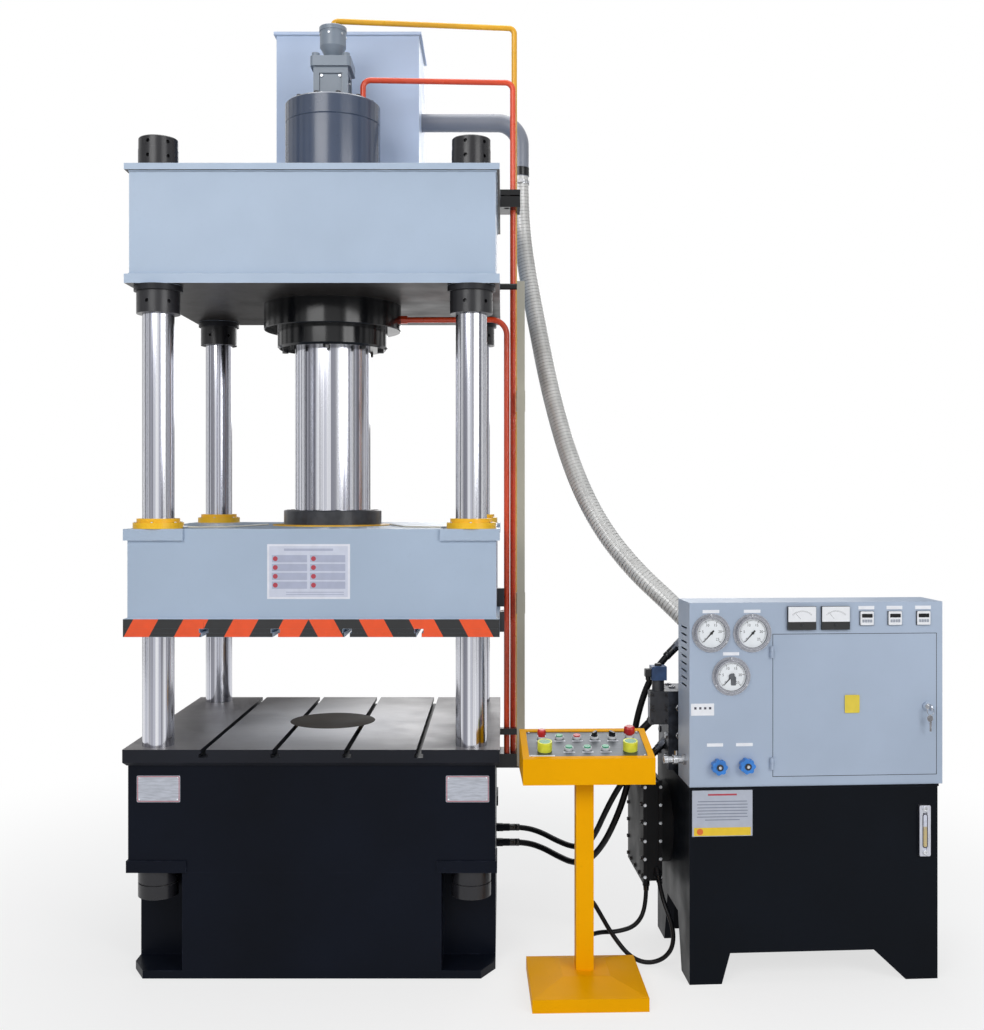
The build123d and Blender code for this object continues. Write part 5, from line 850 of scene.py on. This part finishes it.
# Cabinet. A folded sheet box over the tank, sprayed like the crown, with louvres at its
# left, gauges, meters and counters in its front and small bare labels stuck over them.
cabinet_paint = enamel("cabinet_paint_finish", (168, 182, 202), rough=0.38, gloss=0.3, spread=0.035,
    peel=420.0)
give(cabinet_paint, "cabinet_shell", "cabinet_door")
dial_centres = ((0.074, 1.201), (0.217, 1.200), (0.144, 1.053))
counter_us = (0.617, 0.716, 0.817)
labels = [unit_slab(0.045, 0, 0.9395, 0.080, 0.041, 0.0010, 0.001)]
for u, z, width in ((0.074, 1.274, 0.058), (0.217, 1.274, 0.058), (0.144, 1.129, 0.056),
        (0.088, 0.818, 0.056), (0.190, 0.818, 0.058)):
    labels.append(unit_slab(u, 0, z, width, 0.011, 0.0006, 0.001))
labels += [unit_slab(u, 0, 1.284, 0.056, 0.012, 0.0006, 0.001) for u in counter_us]
film("cabinet_labels", labels, "label_white", (236, 238, 244))
label_marks = [unit_slab(0.020 + 0.017 * k, -0.001, 0.944, 0.008, 0.008, 0.0002) for k in range(4)]
film("cabinet_label_marks", label_marks, "label_mark_dark", (60, 60, 74))
door_plate = [unit_slab(0.566, -0.0026, 0.9535, 0.052, 0.062, 0.0008, 0.004)]
piece("door_plate", door_plate, "cabinet_door_body", printed("door_plate_yellow", (224, 200, 60)))

# Gauges. Three oil-filled pressure gauges in chromed cases, white dials with black figures,
# each held by three screws through its flange.
give(metal("gauge_chrome", (150, 152, 160), rough=0.16, scale=120.0, spread=0.05, edge_wear_and_highlight=(228, 230, 234),
    depth=0.02), "gauge_cases")


def scale_marks(foot, inner, outer, half, first, last, count):
    """Flat bars from radius inner to outer round a foot on the unit's front, from angle first to last."""
    angle = np.radians(np.linspace(first, last, count))
    way = np.sin(angle)[:, None] * ALONG + np.cos(angle)[:, None] * HIGH
    side = np.cos(angle)[:, None] * ALONG - np.sin(angle)[:, None] * HIGH
    corners = [foot + r * way + s * half * side for r,
        s in ((inner, -1), (inner, 1), (outer, 1), (outer, -1))]
    return np.stack(corners, 1).reshape(-1, 3), np.arange(4 * count).reshape(count, 4).tolist()


def figure(word, height, centre, across, up):
    """A flat number: the font's own outline, centred at centre and laid along across and up."""
    letters = bpy.data.curves.new("figure", "FONT")
    letters.body = word
    letters.size = height
    letters.align_x = "CENTER"
    letters.align_y = "CENTER"
    holder = bpy.data.objects.new("figure", letters)
    flat = bpy.data.meshes.new_from_object(holder)
    corners = np.empty(3 * len(flat.vertices))
    flat.vertices.foreach_get("co", corners)
    corners = corners.reshape(-1, 3)
    faces = [list(face.vertices) for face in flat.polygons]
    bpy.data.objects.remove(holder)
    bpy.data.meshes.remove(flat)
    return np.array(centre) + corners[:, :1] * across + corners[:, 1:2] * up, faces


dial_face = -0.0070
print_face = dial_face - 0.0009
dials, marks, case_screws, dial_rings = [], [], [], []
for u, z in dial_centres:
    dials.append(disc(on_unit(u, dial_face, z), -BACK, 0.0495, 0.0006, 64))
    ring = [(0.0493, 0), (0.0513, 0), (0.0513, 0.0010), (0.0493, 0.0010), (0.0493, 0)]
    dial_rings.append(turned(on_unit(u, dial_face, z), -BACK, ring, 64))
    marks.append(scale_marks(on_unit(u, print_face, z), 0.0415, 0.046, 0.0004, -135, 135, 51))
    marks.append(scale_marks(on_unit(u, print_face, z), 0.038, 0.046, 0.0009, -135, 135, 6))
    for k, word in enumerate(("0", "5", "10", "15", "20", "25")):
        a = math.radians(-135 + 54 * k)
        spot = on_unit(u + 0.030 * math.sin(a), print_face, z + 0.030 * math.cos(a))
        marks.append(figure(word, 0.0125, spot, ALONG, HIGH))
    for c, s in around(3):
        case_screws += screw(on_unit(u + 0.0605 * s, -0.0038, z + 0.0605 * c), -BACK, 0.008, 0.004)
dial_black = printed("dial_black", (24, 26, 30), 0.5)
film("gauge_dials", dials, "dial_white", (232, 236, 240), 0.3, 0.02)
piece("gauge_marks", marks, "press", dial_black)
piece("gauge_rings", dial_rings, "press", dial_black)
bright("gauge_screws", case_screws)
needle_black = printed("needle_black_finish", (20, 21, 24), 0.35)
give(needle_black, "gauge_needle_left", "gauge_needle_right", "gauge_needle_contact")
contact = [disc(on_unit(0.144, dial_face - 0.0007, 1.053), -BACK, 0.010, 0.0045)]
contact.append(unit_slab(0.150, dial_face - 0.0007, 1.037, 0.018, 0.030, 0.0012, 0.003))
film("contact_pointer_box", contact, "contact_grey", (96, 100, 106), 0.4, 0.2)

# Meters and counters. Two moving-coil meters with white scales over black feet, and three
# counters with dark windows in white frames.
meter_face, counter_face = -0.012, -0.0088
give(printed("meter_case_black", (24, 25, 28), 0.3, 0.2), "panel_meters")
meter_whites, meter_marks, counter_windows, counter_keys = [], [], [], []
for u in (0.388, 0.506):
    meter_whites.append(unit_slab(u, meter_face + 0.0002, 1.2635, 0.0965, 0.0515, 0.0012, 0.002, 0.0004))
    meter_marks.append(scale_marks(on_unit(u, meter_face - 0.0012, 1.226), 0.046, 0.051, 0.0004, -42, 42, 21))
    across, up = 0.76 * ALONG + 0.65 * HIGH, -0.65 * ALONG + 0.76 * HIGH
    pointer = on_unit(u - 0.016, meter_face - 0.0010, 1.259)
    meter_marks.append(slab(pointer, across, up, 0.0008, 0.030, 0.0002))
    meter_marks += screw(on_unit(u, meter_face + 0.0002, 1.226), -BACK, 0.009, 0.004)
for u in counter_us:
    meter_whites.append(unit_slab(u, -0.0058, 1.248, 0.047, 0.047, 0.0030, 0.003, 0.001))
    counter_windows.append(unit_slab(u, counter_face, 1.257, 0.037, 0.013, 0.0008, 0.001))
    for k in range(4):
        key_u = u - 0.0135 + 0.009 * k
        counter_keys.append(unit_slab(key_u, counter_face, 1.239, 0.0075, 0.010, 0.0012, 0.001, 0.0004))
film("meter_faces", meter_whites, "meter_white", (232, 234, 238), 0.3, 0.02)
film("meter_marks", meter_marks, "meter_mark_dark", (40, 42, 48), 0.4)
film("counter_windows", counter_windows, "counter_window_black", (16, 17, 20), 0.15)
film("counter_keys", counter_keys, "counter_key_grey", (158, 164, 176), 0.4)

# Cabinet door. A folded pan on two lift-off hinges with a chromed cam lock, whose key hangs
# in it with a spare on the ring. Dark strips in the gap round it are a painted shade.
give(metal("lock_chrome", (200, 202, 206), rough=0.18, scale=120.0, spread=0.05), "door_lock")
# Dark strips set in the gap round the door: a painted shade for the gap.
gap_shade_strips = [unit_slab(u, 0.0030, 0.951, 0.0019, 0.4896, 0.0032) for u in (0.289, 0.865)]
gap_shade_strips += [unit_slab(0.577, 0.0030, z, 0.5776, 0.0019, 0.0032) for z in (0.7070, 1.1950)]
film("door_gap_shade", gap_shade_strips, "door_gap_shade_dark", (26, 28, 34), 0.6, 0.2)
ring_middle, ring_radius, wire = on_unit(0.831, -0.031, 0.929), 0.012, 0.0009
turn = np.arange(32) * 2 * math.pi / 32
ring_out = np.sin(turn)[:, None] * ALONG + np.cos(turn)[:, None] * HIGH
wire_turn = np.arange(6) * 2 * math.pi / 6
ring_rows = [ring_middle + (ring_radius + wire * math.sin(a)) * ring_out - wire * math.cos(a) * BACK
    for a in wire_turn]
keys = [(np.stack(ring_rows, 1).reshape(-1, 3), grid_faces(32, 6, True, True))]
across, up = 0.985 * ALONG + 0.17 * HIGH, -0.17 * ALONG + 0.985 * HIGH
keys.append(slab(on_unit(0.829, -0.030, 0.905), across, up, 0.020, 0.022, 0.0018, 0.009, 0.0004))
keys.append(unit_slab(0.831, -0.030, 0.878, 0.007, 0.036, 0.0016, 0.001, 0.0004))
key_nickel = metal("key_nickel", (128, 128, 132), rough=0.26, edge_wear_and_highlight=(190, 190, 192))
piece("lock_key_ring", keys, "door_lock_body", key_nickel)

# Gauge cocks. Two seven-lobed blue knobs shut the lines to the gauges, each with a chromed
# screw in its middle.
give(printed("knob_blue_finish", (48, 128, 214), 0.30, 0.12), "blue_knob_left", "blue_knob_right")
knob_cap = [(0, 0), (0.0115, 0), (0.0115, 0.0012), (0.009, 0.0018), (0, 0.0018)]
for side, u, z in (("left", 0.099, 0.746), ("right", 0.196, 0.748)):
    name, body = "knob_screw_" + side, "blue_knob_" + side + "_body"
    cap = [turned(on_unit(u, -0.0298, z), -BACK, knob_cap, 28)]
    piece(name + "_cap", cap, body, printed(name + "_black", (22, 24, 30), 0.3))
    piece(name, screw(on_unit(u, -0.0314, z), -BACK, 0.011, 0.003), body, rivet_metal)

# Pedestal. A post of square tube on a hipped sheet base, sprayed yellow, that carries the
# sloping box of push buttons. Its panel is brushed metal with bright bezels, and yellow
# guards stand round the palm buttons.
pedestal_paint = enamel(
    "pedestal_paint_finish", (238, 168, 0), rough=0.46, spread=0.04, edge_wear_and_highlight=(206, 150, 40), edge=0.003,
    gloss=0.04)
give(pedestal_paint, "pedestal_stand", "pedestal_box")
STAND = np.array((0.938, -0.573, 0.0))
stand_turn, panel_slope = math.radians(2.0), math.radians(11.09)
SIDE = np.array((math.cos(stand_turn), math.sin(stand_turn), 0.0))
REAR = np.array((-SIDE[1], SIDE[0], 0.0))
SLOPE = math.cos(panel_slope) * REAR + math.sin(panel_slope) * HIGH
PANEL_OUT = np.cross(SIDE, SLOPE)
panel_middle = STAND + 0.825 * HIGH


def on_panel(u, s, h=0.0):
    """The button panel's own place: middle + u sideways + s up the slope + h out of it."""
    return panel_middle + u * SIDE + s * SLOPE + h * PANEL_OUT


def vector_step(tree, operation, first, second, output="Vector"):
    """One step of vector arithmetic on two vectors."""
    return add_node(tree, "VectorMath", (0, first), (1, second), operation=operation).outputs[output]


panel_finish = metal("brushed_panel", (98, 102, 106), rough=0.42, stretch=(0.03, 1, 1), scale=240.0,
    spread=0.06, depth=0.05)
tree, shader = panel_finish.node_tree, panel_finish.node_tree.nodes["Principled BSDF"]
shifted = vector_step(tree, "SUBTRACT", add_node(tree, "TexCoord").outputs["Object"], panel_middle)
height = vector_step(tree, "DOT_PRODUCT", shifted, PANEL_OUT, "Value")
lift = add_node(tree, "VectorMath", (0, PANEL_OUT), ("Scale", height), operation="SCALE").outputs["Vector"]
level_place = vector_step(tree, "SUBTRACT", shifted, lift)
raised = between(tree, height, -0.0024, -0.0020)
guards = []
for palm_u in (-0.138, 0.151):
    away = vector_step(tree, "DISTANCE", level_place, palm_u * SIDE - 0.053 * SLOPE, "Value")
    guards.append(product(tree, between(tree, away, 0.0250, 0.0252, 1, 0), raised))
yellow = add_node(tree, "Math", (0, guards[0]), (1, guards[1]), operation="MAXIMUM").outputs[0]
grey_tone = shader.inputs["Base Color"].links[0].from_socket
bezel_tone = mottle(tree, 60.0, (198, 200, 204), (222, 223, 226))
lemon_tone = mottle(tree, 60.0, (214, 218, 44), (234, 238, 78))
panel_tone = blend_colour(tree, yellow, blend_colour(tree, raised, grey_tone, bezel_tone), lemon_tone)
tree.links.new(panel_tone, shader.inputs["Base Color"])
tree.links.new(between(tree, raised, 0, 1, 1, 0), shader.inputs["Metallic"])
give(panel_finish, "button_panel")
for shade, buttons in (
    ((196, 36, 40), ("stop_button",)),
    ((206, 40, 40), ("red_mushroom_button",)),
    ((44, 150, 96), ("start_button",)),
    ((200, 44, 44), ("halt_button",)),
    ((28, 29, 32), ("selector_left", "selector_right")),
    ((34, 140, 78), ("palm_button_left", "palm_button_right")),
    ((52, 160, 118), ("green_button_left", "green_button_middle", "green_button_right")),
):
    for button in buttons:
        give(printed(button + "_finish", shade, 0.26, 0.10), button)
label_places = [(u, 0.027) for u in (-0.142, -0.081, -0.020, 0.041, 0.102)]
label_places += [(u, -0.068) for u in (-0.056, 0.006, 0.068)]
labels = [slab(on_panel(u, s, -0.0030), SIDE, SLOPE, 0.038, 0.009, 0.0006, 0.001) for u, s in label_places]
labels.append(slab(on_panel(-0.150, -0.098, -0.0030), SIDE, SLOPE, 0.085, 0.012, 0.0006, 0.001))
film("panel_labels", labels, "panel_label_white", (214, 216, 222))
rules = [slab(on_panel(u, s, -0.0024), SIDE, SLOPE, 0.028, 0.0026, 0.0002) for u, s in label_places]
film("panel_rules", rules, "panel_rule_grey", (96, 98, 106))
panel_screws = []
for u in (-0.184, 0.194):
    for s in (-0.099, 0.099):
        panel_screws += screw(on_panel(u, s, -0.0030), PANEL_OUT, 0.008, 0.003)
bright("panel_screws", panel_screws)


# Hoses and cables. A clear suction hose with a steel coil in its wall hangs from the pipe to
# the tank, three black pressure hoses join the unit to the press, and two cables run over
# the floor to the pedestal. Clips and pressed sleeves hold their ends.
def free_line(name, node, points, diameter, material):
    """A round cord along one open NURBS spline of order 3, in place of the CAD's.

    The cord and its centre line come back.
    """
    curve = bpy.data.curves.new(name, "CURVE")
    curve.dimensions = "3D"
    curve.resolution_u = 16
    spline = curve.splines.new("NURBS")
    spline.points.add(len(points) - 1)
    spline.points.foreach_set("co", np.column_stack([points, np.ones(len(points))]).ravel())
    spline.order_u = 3
    spline.use_endpoint_u = True
    obj = bpy.data.objects.new(name, curve)
    bpy.context.collection.objects.link(obj)
    thread = bpy.data.meshes.new_from_object(obj)
    line = np.empty(3 * len(thread.vertices))
    thread.vertices.foreach_get("co", line)
    bpy.data.meshes.remove(thread)
    curve.bevel_depth = diameter / 2
    curve.bevel_resolution = 6
    curve.use_fill_caps = True
    curve.materials.append(material)
    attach(obj, "press")
    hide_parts(node)
    return obj, line.reshape(-1, 3)


rubber_finish = enamel("hose_rubber", (17, 18, 21), rough=0.46, spread=0.25, peel=600.0, gloss=0.2)
cable_finish = enamel("cable_sheath", (15, 16, 19), rough=0.40, spread=0.2, peel=500.0, gloss=0.2)
clear_finish, tree, shader = bare_material("clear_hose_wall")
tree.links.new(mottle(tree, 12.0, (184, 184, 182), (212, 212, 210), detail=5.0), shader.inputs["Base Color"])
shader.inputs["Coat Weight"].default_value = 0.6
shader.inputs["Coat Roughness"].default_value = 0.08
rough_and_bump(tree, shader, 0.24, None, 60.0, 0.08, 0.0006)

suction_points = np.array([
    (733.5, 410, 3015), (733.5, 410, 2868), (757, 402, 2650), (800, 345, 2400), (858, 250, 2080),
    (940, 135, 1770), (1040, 30, 1550), (1160, -70, 1390), (1280, -150, 1275), (1390, -202, 1165),
    (1463, -234, 1042), (1500, -250, 900), (1500, -250, 760),
]) / 1000
suction_d = 0.075
suction_cord, line = free_line("suction_hose_line", "suction_hose", suction_points, suction_d, clear_finish)
run = np.concatenate([[0], np.cumsum(np.linalg.norm(np.diff(line, axis=0), axis=1))])
pitch = 0.0145
coil_turns = int(run[-1] / pitch) - 1
s_fine = np.linspace(0.012, 0.012 + pitch * coil_turns, coil_turns * 18 + 1)
middle = np.stack([np.interp(s_fine, run, line[:, k]) for k in range(3)], 1)
way = np.gradient(middle, axis=0)
way /= np.linalg.norm(way, axis=1)[:, None]
aside = np.cross(way, NORTH)
aside /= np.linalg.norm(aside, axis=1)[:, None]
wind = 2 * math.pi * s_fine / pitch
spoke = np.cos(wind)[:, None] * aside + np.sin(wind)[:, None] * np.cross(way, aside)
corner = np.radians([0, 72, 144, 216, 288])
coil = middle[:, None] + (0.0372 + 0.0011 * np.cos(corner))[None, :, None] * spoke[:, None]
coil += (0.0016 * np.sin(corner))[None, :, None] * way[:, None]
coil_faces = grid_faces(len(s_fine), 5, round_columns=True)
coil_faces += [list(range(5)), list(range(5 * len(s_fine) - 5, 5 * len(s_fine)))]
coil_steel = metal("hose_coil_steel", (152, 152, 151), rough=0.34, spread=0.1)
hose_coil = piece("suction_hose_coil", [(coil.reshape(-1, 3), coil_faces)], "press", coil_steel,
    80)
clip = [(0.0385, 0), (0.0400, 0), (0.0400, 0.013), (0.0385, 0.013), (0.0385, 0)]
clips = []
for foot in (np.array((0.7335, 0.410, 2.984)), np.array((1.500, -0.250, 0.782))):
    clips.append(turned(foot, HIGH, clip, 40))
    clips.append(slab(foot + (0, -0.040, 0.0065), EAST, HIGH, 0.026, 0.016, 0.011, 0.004, 0.001))
    clips.append(disc(foot + (0.013, -0.0455, 0.0065), EAST, 0.0045, 0.006, 6))
hose_clips = bright("suction_hose_clips", clips)
band = [(0.0372, 0), (0.0392, 0.001), (0.0392, 0.036), (0.0372, 0.037), (0.0372, 0)]
piece("suction_pipe_band", [turned((0.7335, 0.410, 3.018), HIGH, band, 40)], "press", gland_finish)

upper_points = (
    (689, 223, 318), (747, 223, 318), (815, 198, 305), (878, 148, 284), (940, 88, 276), (990, 28, 300),
    (1020, -28, 365), (1048, -80, 450), (1078, -128, 530), (1112, -196, 612), (1177.16, -236.18, 678.51),
    (1231.49, -232.62, 732.96),
)
lower_points = (
    (689, 223, 257), (752, 223, 257), (820, 198, 243), (882, 142, 224), (940, 78, 216), (997, 12, 246),
    (1048, -58, 330), (1091, -109, 440), (1125, -139, 550), (1143, -163, 660), (1150, -181, 770),
    (1168, -194, 870), (1200, -208, 972), (1243.38, -231.84, 1052.88), (1291.36, -228.70, 1100.96),
)
main_points = (
    (751, 0, 645), (822, 0, 645), (908, -32, 627), (1000, -90, 628), (1075, -150, 680), (1120, -203, 742),
    (1173.63, -236.41, 802.98), (1231.49, -232.62, 860.96),
)
power_points = (
    (1183.48, -290.88, 249), (1183.48, -290.88, 170), (1146, -322, 112), (1072, -346, 98), (1003, -362, 104),
    (941.53, -444.80, 112), (944.39, -526.75, 112),
)
control_points = (
    (944.39, -526.75, 262), (941.88, -454.79, 262), (978, -398, 232), (1014, -380, 166), (1052, -378, 100),
    (1110, -394, 29), (1169, -412, 10), (1227, -428, 30), (1261, -442, 79), (1260, -452, 156),
    (1225.44, -403.45, 242.01), (1221.33, -340.77, 294.72),
)
for name, points, diameter, finish, stiffness, lay in (
    ("bed_hose_upper", upper_points, 0.022, rubber_finish, "stiff", "hanging"),
    ("bed_hose_lower", lower_points, 0.024, rubber_finish, "stiff", "hanging"),
    ("main_hose", main_points, 0.028, rubber_finish, "stiff", "hanging"),
    ("power_cable", power_points, 0.016, cable_finish, "medium", "hanging"),
    ("control_cable", control_points, 0.016, cable_finish, "medium", "loose"),
):
    points = np.array(points) / 1000
    cord, line = free_line(name + "_line", name, points, diameter, finish)
    r = diameter / 2
    if finish is rubber_finish:
        sides, sleeve = 20, [
            (r, 0), (r + 0.003, 0), (r + 0.003, 0.020), (r + 0.0022, 0.022), (r + 0.0032, 0.024),
            (r + 0.0032, 0.036), (r + 0.001, 0.040), (r, 0.040), (r, 0),
        ]
    else:
        sides, sleeve = 16, [(r, 0), (r + 0.003, 0), (r + 0.0018, 0.018), (r, 0.018), (r, 0)]
    sleeves = []
    for end, inner in ((points[0], points[1]), (points[-1], points[-2])):
        way = (inner - end) / np.linalg.norm(inner - end)
        sleeves.append(turned(end + 0.0005 * way, way, sleeve, sides))
    sleeve_piece = piece(name + "_sleeves", sleeves, "press", gland_finish)
